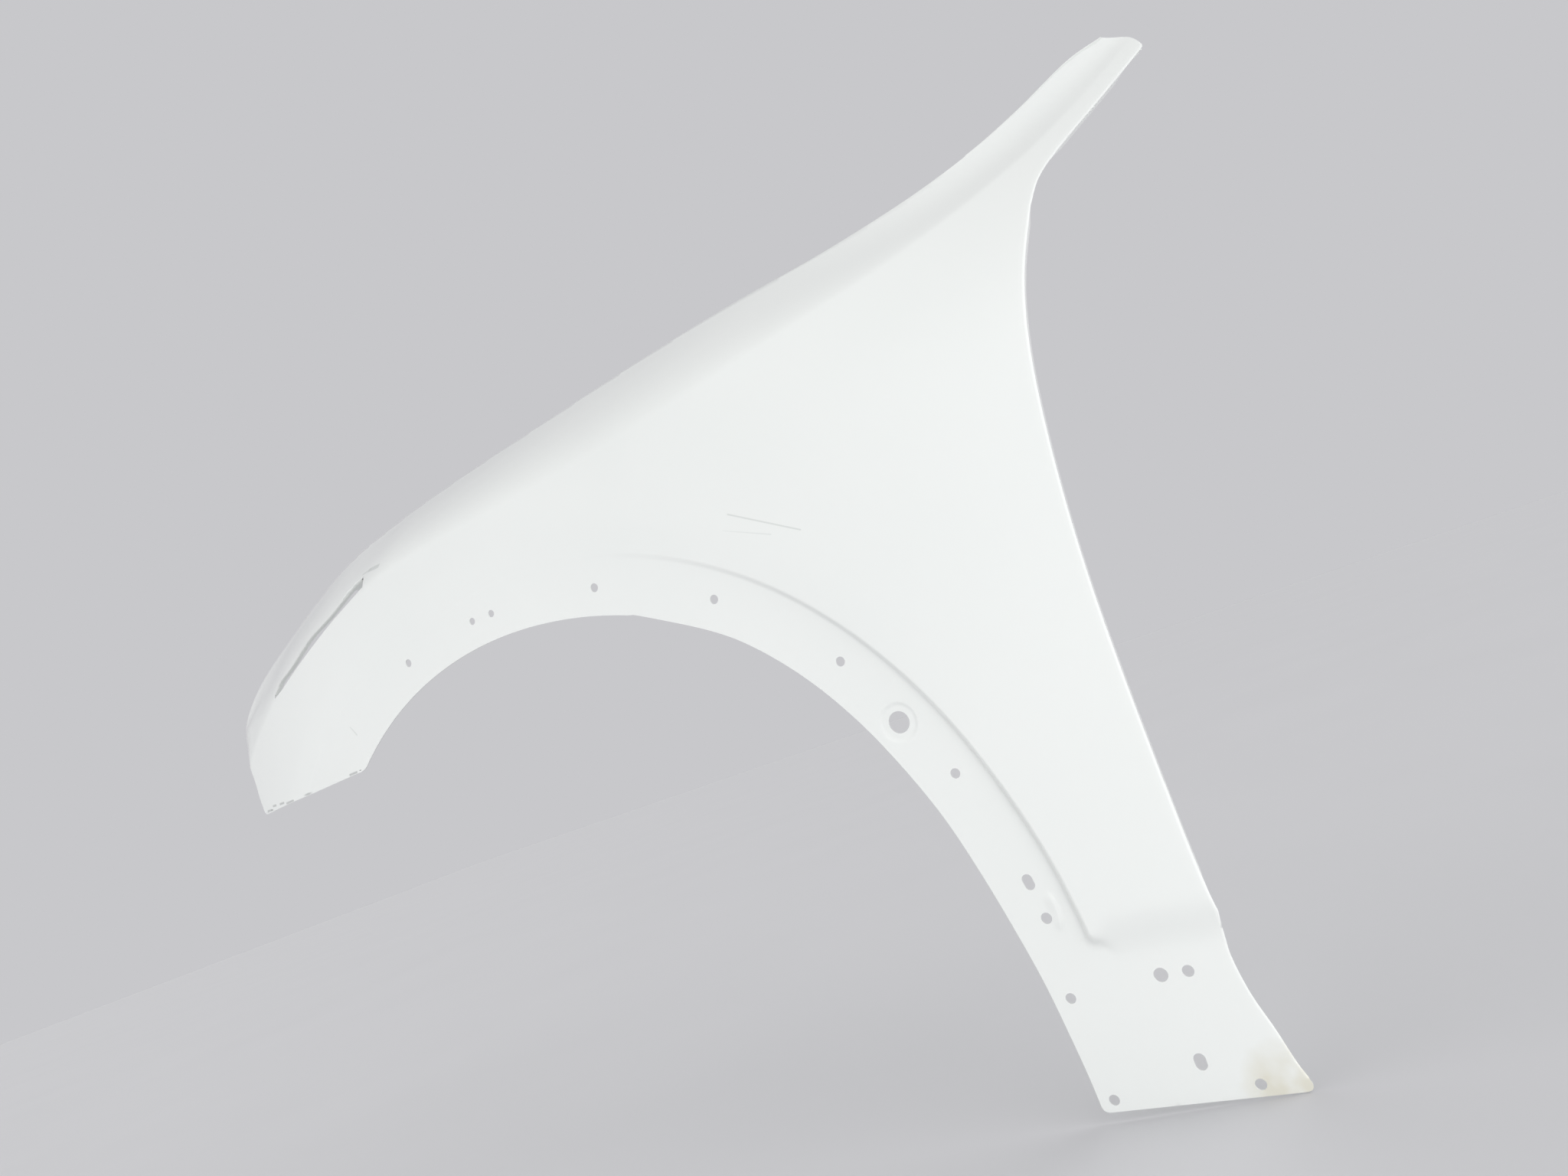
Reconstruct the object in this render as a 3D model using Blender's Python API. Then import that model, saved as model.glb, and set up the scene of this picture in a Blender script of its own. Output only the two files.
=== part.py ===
"""Left front wing of a small crossover car: one pressed steel sheet, 0.8 mm thick.

Car axes: X runs rearward, Y inboard, Z up. The painted outer face looks along -Y.
The drawing below is in millimetres from the foot's lower front corner. The finished sheet is
moved so that its origin is the bolting seat on the back of the foot plate.
"""
import math

import bpy
import numpy as np
from mathutils import Vector
from mathutils.geometry import delaunay_2d_cdt

# Sheet and mesh
MM = 0.001
SHEET = 0.8
FIELD_STEP = 24.0
EDGE_STEP = 12.0
ROW_STEP = 9.0

# Overall size. The places drawn below hold for the drawn size and move with the wanted one
LENGTH = 1050.0
HEIGHT = 690.0
DRAWN_LENGTH = 1050.0
DRAWN_HEIGHT = 690.0
LONG = LENGTH / DRAWN_LENGTH
TALL = HEIGHT / DRAWN_HEIGHT


def place(points):
    """Drawn points (x, z) or (x, y, z) in their place on a sheet of the wanted size."""
    points = np.asarray(points, float)
    scale = np.ones(points.shape[1])
    scale[0] = LONG
    scale[-1] = TALL
    return points * scale


# Bolting seat on the back of the foot plate, which is the origin of the part
SEAT_X = 40.0 * LONG
SEAT_Z = 48.0 * TALL

# Wheel arch: its centre, radius and ends, as angles about the wheel
ARCH_X = -367.5 * LONG
ARCH_Z = 58.5 * TALL
ARCH_R = 386.0
ARCH_FRONT_ANGLE = 121.2
ARCH_REAR_ANGLE = 67.0


def around_arch(places):
    """Points given by their angle about the wheel and their distance outside the arch's circle."""
    places = np.asarray(places, float)
    a = np.radians(places[:, 0])
    r = ARCH_R + places[:, 1]
    return np.column_stack([ARCH_X + r * np.cos(a), ARCH_Z + r * np.sin(a)])


# Behind the wheel the trimmed edge runs inside the circle, down to the foot
ARCH_RUN = around_arch([(58, -2.5), (52, -4.5), (45, -9.5), (38, -15.5), (31, -21.5), (24, -26), (17, -30),
                        (10, -31), (4, -29), (-2, -25.5), (-6, -21.5), (-9.5, -17.4)])

# Foot, door edge, tail, hood line and nose, in order round the outline
FOOT_BACK = place([(128, -9), (122, 8), (117, 30), (111, 53), (108, 76), (109, 92), (111, 106)])
DOOR_EDGE = place([(111, 106), (109.5, 132), (109, 160), (109, 211), (109.5, 264), (111, 316), (114.5, 369),
                   (120, 421), (127.5, 473), (138, 524), (153, 573)])
TAIL_LOWER = place([(153, 573), (163, 592), (181, 608), (212, 628), (254, 656)])
TAIL_END = place([(254, 656), (246, 671), (230, 681)])
HOOD_LINE = place([(230, 120, 681), (203, 115, 676), (160, 108, 659.5), (118, 102, 647), (62, 97, 637.5),
                   (-15, 93, 632), (-100, 90, 630.5), (-200, 88, 625.5), (-300, 89, 619.5), (-400, 91, 613.5),
                   (-490, 93, 605.5), (-575, 98, 594.5), (-645, 103, 574), (-708, 109, 552),
                   (-760, 112, 530), (-788, 109, 508), (-797, 102, 487), (-789, 91, 465), (-779, 80, 446)])
NOSE_FRONT = place([(-779, 446), (-775.5, 427), (-775, 410), (-772, 391)])

# Roll line: from here the skin turns inboard up to the hood line
ROLL_LINE = place([(262, 679), (246, 668), (205, 641), (147, 614), (50, 585), (-40, 569), (-135, 555),
                   (-228, 547), (-320, 544), (-402, 543), (-480, 539), (-560, 525), (-654, 500),
                   (-722, 473), (-779, 446), (-806, 432)])
ROLL_POWER = 1.6
TAIL_POWER = 1.35
TAIL_POWER_FROM = 40.0 * LONG
TAIL_POWER_RUN = 80.0

# Body side: plan curve to the nose, lean above the arch, fuller shoulder towards the tail
PLAN_START = -316.0 * LONG
PLAN_RADIUS = 1370.0
LEAN_START = 474.0 * TALL
LEAN_SLOPE = 0.14
SHOULDER_START = 505.0 * TALL
SHOULDER_SLOPE = 0.55
SHOULDER_FROM = -210.0 * LONG
SHOULDER_RUN = 370.0
SOFT = 26.0

# Cladding seat round the arch and foot plate, pressed inboard behind one step line
RECESS = 5.0
BAND_LINE = around_arch([(134, 66), (128, 62), (121, 57), (114, 51.5), (107, 45.5), (100, 41), (93, 41), (86, 44),
                         (79, 46.5), (72, 46.5), (65, 45.5), (58, 44), (51, 41.2), (44, 37), (37, 32), (30, 26.5),
                         (23, 21), (16, 17), (10, 14), (6.6, 12.5)])
FOLD_LINE = np.vstack([BAND_LINE[-1:], place([(46, 105), (70, 104.5), (96, 103), (122, 101), (150, 98)])])
BAND_STEP = 5.0
FOLD_STEP = 13.0
FOLD_RUN = 12.0

# Character line over the arch, which fades in at the lamp and out behind the wheel centre
CREASE_LINE = place([(-560, 525), (-480, 539), (-430, 540), (-377, 538), (-329, 536), (-283, 530),
                     (-243, 523), (-200, 510)])
CREASE_HEIGHT = 3.5
CREASE_BELOW = 70.0
CREASE_ABOVE = 22.0
CREASE_IN_FROM = -540.0 * LONG
CREASE_IN_RUN = 90.0
CREASE_OUT_FROM = -370.0 * LONG
CREASE_OUT_RUN = 165.0

# Open slit along the lamp edge, with a wavy upper lip
SLIT_LINE = place([(-684, 492), (-654, 503), (-560, 530), (-498, 545)])
SLIT_HALF = 4.5
SLIT_POINT = 26.0
SLIT_WAVE = 1.2
SLIT_WAVE_LENGTH = 26.0

# Round holes along the arch: angle about the wheel, distance outside the arch's circle, diameter
CLIP_HOLE = 7.0
SMALL_HOLE = 6.0
ARCH_HOLES = [(103.7, 26, CLIP_HOLE), (91.5, 22.5, SMALL_HOLE), (88.4, 21.5, SMALL_HOLE), (73.3, 22, CLIP_HOLE),
              (58, 21, CLIP_HOLE), (42.4, 14, CLIP_HOLE), (26.4, 2, CLIP_HOLE), (10.1, -7.5, 7.5),
              (2.1, -16.5, CLIP_HOLE), (-8.2, -9, CLIP_HOLE)]
BIG_HOLE = (34.0, 1.5, 15.4)
COIN_RADIUS = 14.0
COIN_EDGE = 3.5
COIN_HEIGHT = 0.9
# Round holes in the foot: x, z, diameter
FOOT_HOLES = [(97, 0, CLIP_HOLE), (63, 75, 9.0), (80, 74, 7.5)]
# Oval holes: x, z, length, width, tilt of the long side from the vertical in degrees
OVAL_HOLES = [(2, 150, 10.8, 7.2, 8.0), (67, 19, 10.8, 7.6, 0.0)]
CRESCENT_AT = (10.1, -7.5)
CRESCENT_RADIUS = 12.5
CRESCENT_HALF_WIDTH = 3.0
CRESCENT_MID_ANGLE = 12.0
CRESCENT_HALF_ANGLE = 60.0
CRESCENT_HEIGHT = 1.1

# Folded edges
BEND = 2.2
HOOD_IN = 3.0
HOOD_WALL = 19.0
HOOD_FLANGE = 24.0
HOOD_FROM_X = 95.0 * LONG
HOOD_TO_X = -600.0 * LONG
PAD_X = [x * LONG for x in (58.0, -140.0, -340.0, -545.0)]
PAD_FLAT = 24.0
PAD_BLEND = 24.0
PAD_SLOT_LENGTH = 11.0
PAD_SLOT_WIDTH = 7.0
PAD_SLOT_SHARE = 0.58
DOOR_RETURN = 9.0
DOOR_RETURN_FROM_Z = 118.0 * TALL
TAIL_RETURN = 7.0
TAIL_RETURN_FROM_X = 172.0 * LONG
TAIL_RETURN_TO_X = 238.0 * LONG
LAMP_RETURN = 12.0
RETURN_GAP = 20.0


def smooth_step(t):
    """Runs from 0 to 1 with level ends."""
    t = np.clip(t, 0.0, 1.0)
    return t * t * (3.0 - 2.0 * t)


def soft_ramp(t, width):
    """Zero below the start and a straight slope above it, with a soft bend between."""
    return width * np.log1p(np.exp(np.clip(t / width, -40.0, 40.0)))


def resample(points, step):
    """Spreads points evenly along a line, at about the given step."""
    points = np.asarray(points, float)
    run = np.concatenate([[0.0], np.cumsum(np.linalg.norm(np.diff(points, axis=0), axis=1))])
    count = max(2, int(round(run[-1] / step)) + 1)
    at = np.linspace(0.0, run[-1], count)
    return np.column_stack([np.interp(at, run, points[:, k]) for k in range(points.shape[1])])


def spline(points, step, fine=16):
    """A smooth curve through the points, with its vertices at about the given step."""
    p = np.asarray(points, float)
    p = np.vstack([2 * p[0] - p[1], p, 2 * p[-1] - p[-2]])
    t = np.linspace(0.0, 1.0, fine, endpoint=False)[:, None]
    pieces = []
    for a, b, c, d in zip(p[:-3], p[1:-2], p[2:-1], p[3:]):
        pieces.append(0.5 * (2 * b + (c - a) * t + (2 * a - 5 * b + 4 * c - d) * t ** 2
                             + (3 * b - a - 3 * c + d) * t ** 3))
    return resample(np.vstack(pieces + [p[-2:-1]]), step)


def blend_corner(before, after, cut, count=4):
    """Rounds the corner where one curve ends and the next starts."""
    corner = before[-1]
    before = before[np.linalg.norm(before - corner, axis=1) > cut]
    after = after[np.linalg.norm(after - corner, axis=1) > cut]
    start = corner + (before[-1] - corner) * cut / np.linalg.norm(before[-1] - corner)
    end = corner + (after[0] - corner) * cut / np.linalg.norm(after[0] - corner)
    t = np.linspace(0.0, 1.0, count + 1)[:, None]
    arc = (1 - t) ** 2 * start + 2 * t * (1 - t) * corner + t ** 2 * end
    return np.vstack([before, arc]), after


def near_line(x, z, line):
    """Signed distance to a line, positive to its right, with the run along it."""
    a = line[:-1]
    d = line[1:] - a
    length = np.linalg.norm(d, axis=1)
    run = np.concatenate([[0.0], np.cumsum(length)])
    best = np.full(x.shape, 1e9)
    side = np.zeros(x.shape)
    along = np.zeros(x.shape)
    for k in range(len(a)):
        px = x - a[k, 0]
        pz = z - a[k, 1]
        t = np.clip((px * d[k, 0] + pz * d[k, 1]) / length[k] ** 2, 0.0, 1.0)
        dist = np.hypot(px - t * d[k, 0], pz - t * d[k, 1])
        closer = dist < best
        best = np.where(closer, dist, best)
        side = np.where(closer, np.sign(pz * d[k, 0] - px * d[k, 1]), side)
        along = np.where(closer, run[k] + t * length[k], along)
    return -side * best, along


ARCH_ARC = around_arch([(angle, 0.0) for angle in np.arange(ARCH_FRONT_ANGLE, ARCH_REAR_ANGLE, -1.5)])
BIG_AT = around_arch([BIG_HOLE[:2]])[0]
CRESCENT_CENTRE = around_arch([CRESCENT_AT])[0]
HOOD_CURVE = spline(HOOD_LINE, 4.0)
HOOD_PLAN = HOOD_CURVE[:, [0, 2]]
ROLL_CURVE = spline(ROLL_LINE, 6.0)
STEP_CURVE = np.vstack([spline(BAND_LINE, 5.0), spline(FOLD_LINE, 5.0)[1:]])
BAND_LENGTH = np.linalg.norm(np.diff(spline(BAND_LINE, 5.0), axis=0), axis=1).sum()
CREASE_CURVE = spline(CREASE_LINE, 5.0)


def body_side(x, z):
    """The large smooth form of the side, before any line or step is pressed in."""
    forward = np.maximum(0.0, PLAN_START - x)
    y = forward ** 2 / (2.0 * PLAN_RADIUS)
    y = y + LEAN_SLOPE * soft_ramp(z - LEAN_START, SOFT)
    rear = smooth_step((x - SHOULDER_FROM) / SHOULDER_RUN)
    return y + rear * SHOULDER_SLOPE * soft_ramp(z - SHOULDER_START, SOFT)


def skin(x, z):
    """Inboard depth of the outer face at a point of the side view."""
    x = np.asarray(x, float)
    z = np.asarray(z, float)
    side = body_side(x, z)
    # Roll from the roll line up to the hood line
    beyond, _ = near_line(x, z, ROLL_CURVE)
    inside, along = near_line(x, z, HOOD_PLAN)
    run = np.concatenate([[0.0], np.cumsum(np.linalg.norm(np.diff(HOOD_PLAN, axis=0), axis=1))])
    hood_y = np.interp(along, run, HOOD_CURVE[:, 1])
    beyond = np.maximum(0.0, beyond)
    share = beyond / np.maximum(beyond + np.abs(inside), 1e-6)
    power = ROLL_POWER - (ROLL_POWER - TAIL_POWER) * smooth_step((x - TAIL_POWER_FROM) / TAIL_POWER_RUN)
    y = side + (hood_y - side) * share ** power
    # Cladding seat and foot plate
    inner, along = near_line(x, z, STEP_CURVE)
    width = BAND_STEP + (FOLD_STEP - BAND_STEP) * smooth_step((along - BAND_LENGTH) / FOLD_RUN)
    y = y + RECESS * smooth_step(0.5 + inner / width)
    # Character line
    above, _ = near_line(x, z, CREASE_CURVE)
    ridge = np.where(above < 0.0, 1.0 + above / CREASE_BELOW, 1.0 - above / CREASE_ABOVE)
    fade_in = smooth_step((x - CREASE_IN_FROM) / CREASE_IN_RUN)
    fade_out = smooth_step((x - CREASE_OUT_FROM) / CREASE_OUT_RUN)
    y = y - CREASE_HEIGHT * fade_in * (1.0 - fade_out) * np.maximum(0.0, ridge)
    # Coined ring and crescent
    r = np.hypot(x - BIG_AT[0], z - BIG_AT[1])
    y = y - COIN_HEIGHT * smooth_step((COIN_RADIUS - r) / COIN_EDGE)
    dx = x - CRESCENT_CENTRE[0]
    dz = z - CRESCENT_CENTRE[1]
    off = np.abs(np.hypot(dx, dz) - CRESCENT_RADIUS) / CRESCENT_HALF_WIDTH
    turn = np.abs(np.degrees(np.arctan2(dz, dx)) - CRESCENT_MID_ANGLE) / CRESCENT_HALF_ANGLE
    return y - CRESCENT_HEIGHT * smooth_step(1.0 - off) * smooth_step(2.0 * (1.0 - turn))


def circle(x, z, radius, count):
    """A round loop."""
    a = np.linspace(0.0, 2.0 * math.pi, count, endpoint=False)
    return np.column_stack([x + radius * np.cos(a), z + radius * np.sin(a)])


def oval(x, z, length, width, tilt, count):
    """An oval loop with round ends, its long side near the vertical."""
    a = np.linspace(0.0, 2.0 * math.pi, count, endpoint=False)
    half = (length - width) / 2.0
    px = width / 2.0 * np.cos(a)
    pz = width / 2.0 * np.sin(a) + np.where(np.sin(a) >= 0.0, half, -half)
    t = math.radians(tilt)
    return np.column_stack([x + px * math.cos(t) - pz * math.sin(t), z + px * math.sin(t) + pz * math.cos(t)])


def slit_loop(step):
    """The slit, pointed at its front end, with small waves in the upper lip."""
    line = spline(SLIT_LINE, step)
    run = np.concatenate([[0.0], np.cumsum(np.linalg.norm(np.diff(line, axis=0), axis=1))])
    tangent = np.gradient(line, axis=0)
    tangent /= np.linalg.norm(tangent, axis=1)[:, None]
    across = np.column_stack([-tangent[:, 1], tangent[:, 0]])
    half = SLIT_HALF * np.minimum(1.0, 0.25 + run / SLIT_POINT)
    wave = SLIT_WAVE * np.sin(2.0 * math.pi * run / SLIT_WAVE_LENGTH) * smooth_step(run / SLIT_POINT)
    upper = line + across * (half + wave)[:, None]
    lower = line - across * half[:, None]
    return np.vstack([lower, upper[::-1]])


def outline(step):
    """The trimmed edge, counter-clockwise in the side view, with the start of each folded stretch."""
    arch = np.vstack([ARCH_ARC, ARCH_RUN])
    arch = resample(spline(arch, step / 2.0), step)
    nose_bottom = resample([NOSE_FRONT[-1], arch[0]], step * 0.75)
    nose_front = spline(NOSE_FRONT, step)
    foot_bottom = resample([ARCH_RUN[-1], FOOT_BACK[0]], step * 1.5)
    foot_back = spline(FOOT_BACK, step)
    door = spline(DOOR_EDGE, step)
    tail_lower = spline(TAIL_LOWER, step)
    tail_end = spline(TAIL_END, 6.0)
    hood = resample(HOOD_PLAN, step)
    nose_bottom, arch = blend_corner(nose_bottom, arch, 7.0, 3)
    arch, foot_bottom = blend_corner(arch, foot_bottom, 5.0, 3)
    foot_bottom, foot_back = blend_corner(foot_bottom, foot_back, 8.0, 4)
    nose_front, nose_bottom = blend_corner(nose_front, nose_bottom, 6.0, 3)
    tail_lower, tail_end = blend_corner(tail_lower, tail_end, 4.0, 2)
    parts = [("arch", arch), ("foot_bottom", foot_bottom), ("foot_back", foot_back[:-1]),
             ("door", door[:-1]), ("tail_lower", tail_lower), ("tail_end", tail_end[:-1]),
             ("hood", hood[:-1]), ("nose_front", nose_front), ("nose_bottom", nose_bottom)]
    loop = np.vstack([p for _, p in parts])
    names = [name for name, p in parts for _ in p]
    return loop, names


def offset_rows(line, offsets, step, clear):
    """Rows of points beside a line, left out where they leave the sheet."""
    line = resample(line, step)
    tangent = np.gradient(line, axis=0)
    tangent /= np.linalg.norm(tangent, axis=1)[:, None]
    across = np.column_stack([tangent[:, 1], -tangent[:, 0]])
    rows = []
    for off in offsets:
        row = line + across * off
        rows.append(row[clear(row)])
    return rows


def inside_loop(points, loop):
    """True for the points inside a closed loop."""
    x = points[:, 0]
    z = points[:, 1]
    hit = np.zeros(len(points), bool)
    for a, b in zip(loop, np.roll(loop, -1, axis=0)):
        crosses = (a[1] > z) != (b[1] > z)
        if b[1] != a[1]:
            hit ^= crosses & (x < (b[0] - a[0]) * (z - a[1]) / (b[1] - a[1]) + a[0])
    return hit


def edge_distance(points, loops):
    """Distance from each point to the nearest of the loops."""
    best = np.full(len(points), 1e9)
    for loop in loops:
        closed = np.vstack([loop, loop[:1]])
        dist, _ = near_line(points[:, 0], points[:, 1], closed)
        best = np.minimum(best, np.abs(dist))
    return best


def mesh_plan():
    """Triangles of the side view: the outline, the holes, rows along the lines, and an even field."""
    loop, names = outline(EDGE_STEP)
    holes = [circle(*around_arch([(angle, out)])[0], d / 2.0, 12) for angle, out, d in ARCH_HOLES]
    holes += [circle(*place([(x, z)])[0], d / 2.0, 12) for x, z, d in FOOT_HOLES]
    holes.append(circle(*BIG_AT, BIG_HOLE[2] / 2.0, 16))
    holes += [oval(*place([(x, z)])[0], l, w, tilt, 14) for x, z, l, w, tilt in OVAL_HOLES]
    holes.append(slit_loop(12.0))

    def clear(points, gap=4.0):
        return inside_loop(points, loop) & (edge_distance(points, [loop] + holes) > gap)

    band = spline(BAND_LINE, 5.0)[:-1]
    fold = spline(FOLD_LINE, 5.0)[3:]
    rows = []
    rows += offset_rows(band, [BAND_STEP * k for k in (-0.5, 0.0, 0.5)], ROW_STEP, clear)
    rows += offset_rows(band, [BAND_STEP * k for k in (-1.8, 1.8)], ROW_STEP * 1.5, clear)
    rows += offset_rows(fold, [FOLD_STEP * k for k in (-0.5, -0.17, 0.17, 0.5)], ROW_STEP * 1.5, clear)
    firm = len(rows)
    rows += offset_rows(ROLL_CURVE, [EDGE_STEP * 1.2 * k for k in range(5)], EDGE_STEP * 1.2, clear)
    rows += offset_rows(CREASE_CURVE, (0.0,), EDGE_STEP, clear)
    rings = [circle(*BIG_AT, r, 16) for r in (COIN_RADIUS - COIN_EDGE, COIN_RADIUS)]
    a = np.radians(CRESCENT_MID_ANGLE + np.linspace(-CRESCENT_HALF_ANGLE, CRESCENT_HALF_ANGLE, 7))
    for r in (CRESCENT_RADIUS - CRESCENT_HALF_WIDTH, CRESCENT_RADIUS, CRESCENT_RADIUS + CRESCENT_HALF_WIDTH):
        rings.append(CRESCENT_CENTRE + r * np.column_stack([np.cos(a), np.sin(a)]))

    fixed = [loop] + holes + rings
    kept = np.vstack(fixed)
    for k, row in enumerate(rows):
        if len(row):
            gap = np.min(np.linalg.norm(row[:, None] - kept[None], axis=2), axis=1)
            kept = np.vstack([kept, row[gap > (2.0 if k < firm else 6.0)]])
    low = loop.min(axis=0)
    high = loop.max(axis=0)
    field = []
    for j, z in enumerate(np.arange(low[1], high[1], FIELD_STEP * 0.866)):
        for x in np.arange(low[0] + (j % 2) * FIELD_STEP / 2.0, high[0], FIELD_STEP):
            field.append((x, z))
    field = np.array(field)
    field = field[clear(field, FIELD_STEP * 0.4)]
    gap = np.min(np.linalg.norm(field[:, None] - kept[None], axis=2), axis=1)
    points = np.vstack([kept, field[gap > FIELD_STEP * 0.45]])

    edges = []
    start = 0
    for ring in [loop] + holes:
        n = len(ring)
        edges += [(start + k, start + (k + 1) % n) for k in range(n)]
        start += n
    flat = [Vector((float(x), float(z))) for x, z in points]
    verts, _, faces, origin, _, _ = delaunay_2d_cdt(flat, edges, [], 0, 1e-4, True)
    plan = np.array([tuple(v) for v in verts])
    centre = np.array([plan[list(f)].mean(axis=0) for f in faces])
    keep = inside_loop(centre, loop)
    for hole in holes:
        keep &= ~inside_loop(centre, hole)
    faces = [list(f) for f, ok in zip(faces, keep) if ok]
    vertex_of = {}
    for k, sources in enumerate(origin):
        for source in sources:
            vertex_of[source] = k
    rim = [vertex_of[k] for k in range(len(loop))]
    return plan, faces, rim, names


def pad_level(x, z):
    """Level of the hood flange: it follows the hood line, and is flat at each bolting pad."""
    level = z
    for pad in PAD_X:
        k = int(np.argmin(np.abs(HOOD_CURVE[:, 0] - pad)))
        flat = HOOD_CURVE[k, 2] - HOOD_WALL
        share = 1.0 - smooth_step((abs(x - pad) - PAD_FLAT) / PAD_BLEND)
        level = level + (flat - level) * float(share)
    return level


def folded_edge(points, faces, run, make_row):
    """Adds a folded strip along a run of edge points; make_row gives the strip's points at each."""
    rows = []
    for v in run:
        row = [v]
        for p in make_row(np.array(points[v])):
            points.append(tuple(p))
            row.append(len(points) - 1)
        rows.append(row)
    for a, b in zip(rows[:-1], rows[1:]):
        for k in range(len(a) - 1):
            faces.append([b[k], a[k], a[k + 1], b[k + 1]])


def build_sheet():
    """The outer face with its folded edges, as points in millimetres and faces."""
    plan, faces, rim, names = mesh_plan()
    depth = skin(plan[:, 0], plan[:, 1])
    points = [(x, y, z) for (x, z), y in zip(plan, depth)]

    def run_of(name, keep):
        return [v for v, n in zip(rim, names) if n == name and keep(points[v])]

    def hood_row(p):
        level = pad_level(p[0], p[2] - HOOD_WALL)
        base_y = p[1] + HOOD_IN
        out = [(p[0], p[1] + HOOD_IN - 1.4, p[2] - 0.6), (p[0], p[1] + HOOD_IN - 0.3, p[2] - 2.6)]
        out.append((p[0], base_y, (p[2] + level) / 2.0))
        out.append((p[0], base_y, level + 2.4))
        out.append((p[0], base_y + 0.7, level + 0.7))
        out.append((p[0], base_y + 2.4, level))
        out.append((p[0], base_y + HOOD_FLANGE * 0.5, level))
        out.append((p[0], base_y + HOOD_FLANGE, level))
        return out

    def return_row(direction, length):
        d = np.array(direction, float)
        d /= np.linalg.norm(d)

        def make(p):
            return [p + d * s for s in (BEND * 0.7, BEND * 2.0, length)]
        return make

    folded_edge(points, faces, run_of("hood", lambda p: HOOD_TO_X < p[0] < HOOD_FROM_X), hood_row)
    folded_edge(points, faces, run_of("hood", lambda p: p[0] > HOOD_FROM_X + RETURN_GAP),
                return_row((0.1, 0.55, -0.8), TAIL_RETURN))
    folded_edge(points, faces, run_of("hood", lambda p: p[0] < HOOD_TO_X - RETURN_GAP),
                return_row((0.3, 0.9, -0.3), LAMP_RETURN))
    folded_edge(points, faces, run_of("door", lambda p: p[2] > DOOR_RETURN_FROM_Z),
                return_row((-0.1, 1.0, 0.0), DOOR_RETURN))
    folded_edge(points, faces, run_of("tail_lower", lambda p: TAIL_RETURN_FROM_X < p[0] < TAIL_RETURN_TO_X),
                return_row((-0.1, 1.0, 0.1), TAIL_RETURN))
    return points, faces


def make_material(name, colour, roughness, metallic):
    """A Principled material."""
    mat = bpy.data.materials.new(name)
    mat.use_nodes = True
    node = mat.node_tree.nodes["Principled BSDF"]
    node.inputs["Base Color"].default_value = (*colour, 1.0)
    node.inputs["Roughness"].default_value = roughness
    node.inputs["Metallic"].default_value = metallic
    return mat


def slot_cutter(x, y, z):
    """An upright oval prism through the hood flange, its long side along the car."""
    loop = oval(0.0, 0.0, PAD_SLOT_LENGTH, PAD_SLOT_WIDTH, 90.0, 16)
    low = [((x + px) * MM, (y + py) * MM, (z - 6.0) * MM) for px, py in loop]
    high = [((x + px) * MM, (y + py) * MM, (z + 6.0) * MM) for px, py in loop]
    n = len(loop)
    faces = [list(range(n))[::-1], list(range(n, 2 * n))]
    faces += [[k, (k + 1) % n, n + (k + 1) % n, n + k] for k in range(n)]
    mesh = bpy.data.meshes.new("pad_slot_cutter")
    mesh.from_pydata(low + high, [], faces)
    cutter = bpy.data.objects.new("pad_slot_cutter", mesh)
    bpy.context.scene.collection.objects.link(cutter)
    cutter.hide_render = True
    cutter.display_type = "WIRE"
    return cutter


def main():
    for obj in list(bpy.data.objects):
        bpy.data.objects.remove(obj, do_unlink=True)
    points, faces = build_sheet()
    seat = np.array([SEAT_X, RECESS + SHEET, SEAT_Z])
    points = (np.array(points) - seat) * MM
    mesh = bpy.data.meshes.new("fender_panel")
    mesh.from_pydata([tuple(p) for p in points], [], faces)
    mesh.update()
    panel = bpy.data.objects.new("fender_panel", mesh)
    bpy.context.scene.collection.objects.link(panel)
    mesh.materials.append(make_material("White Body Paint", (0.86, 0.88, 0.86), 0.25, 0.0))
    sheet = panel.modifiers.new("Sheet", "SOLIDIFY")
    sheet.thickness = SHEET * MM
    sheet.offset = -1.0
    sheet.use_even_offset = True
    for x in PAD_X:
        k = int(np.argmin(np.abs(HOOD_CURVE[:, 0] - x)))
        y = HOOD_CURVE[k, 1] + HOOD_IN + HOOD_FLANGE * PAD_SLOT_SHARE
        z = HOOD_CURVE[k, 2] - HOOD_WALL
        cut = panel.modifiers.new("Pad slot", "BOOLEAN")
        cut.operation = "DIFFERENCE"
        cut.solver = "EXACT"
        cut.object = slot_cutter(x - seat[0], y - seat[1], z - seat[2])
    mesh.shade_smooth()
    mesh.set_sharp_from_angle(angle=math.radians(35.0))


main()
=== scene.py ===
# %% [markdown]
# A front wing of a small car is one sheet of steel, pressed, trimmed, pierced and painted. Nothing
# on it moves. The frame brings the solid that the drawing made, with its origin on the bolting seat
# behind the foot. This scene gives the same sheet a finer skin, its paint and its wear.

# %% Load the frame
import math

import bpy
import numpy as np
from mathutils import Matrix, Vector
from mathutils.geometry import delaunay_2d_cdt
from mathutils.kdtree import KDTree


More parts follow.
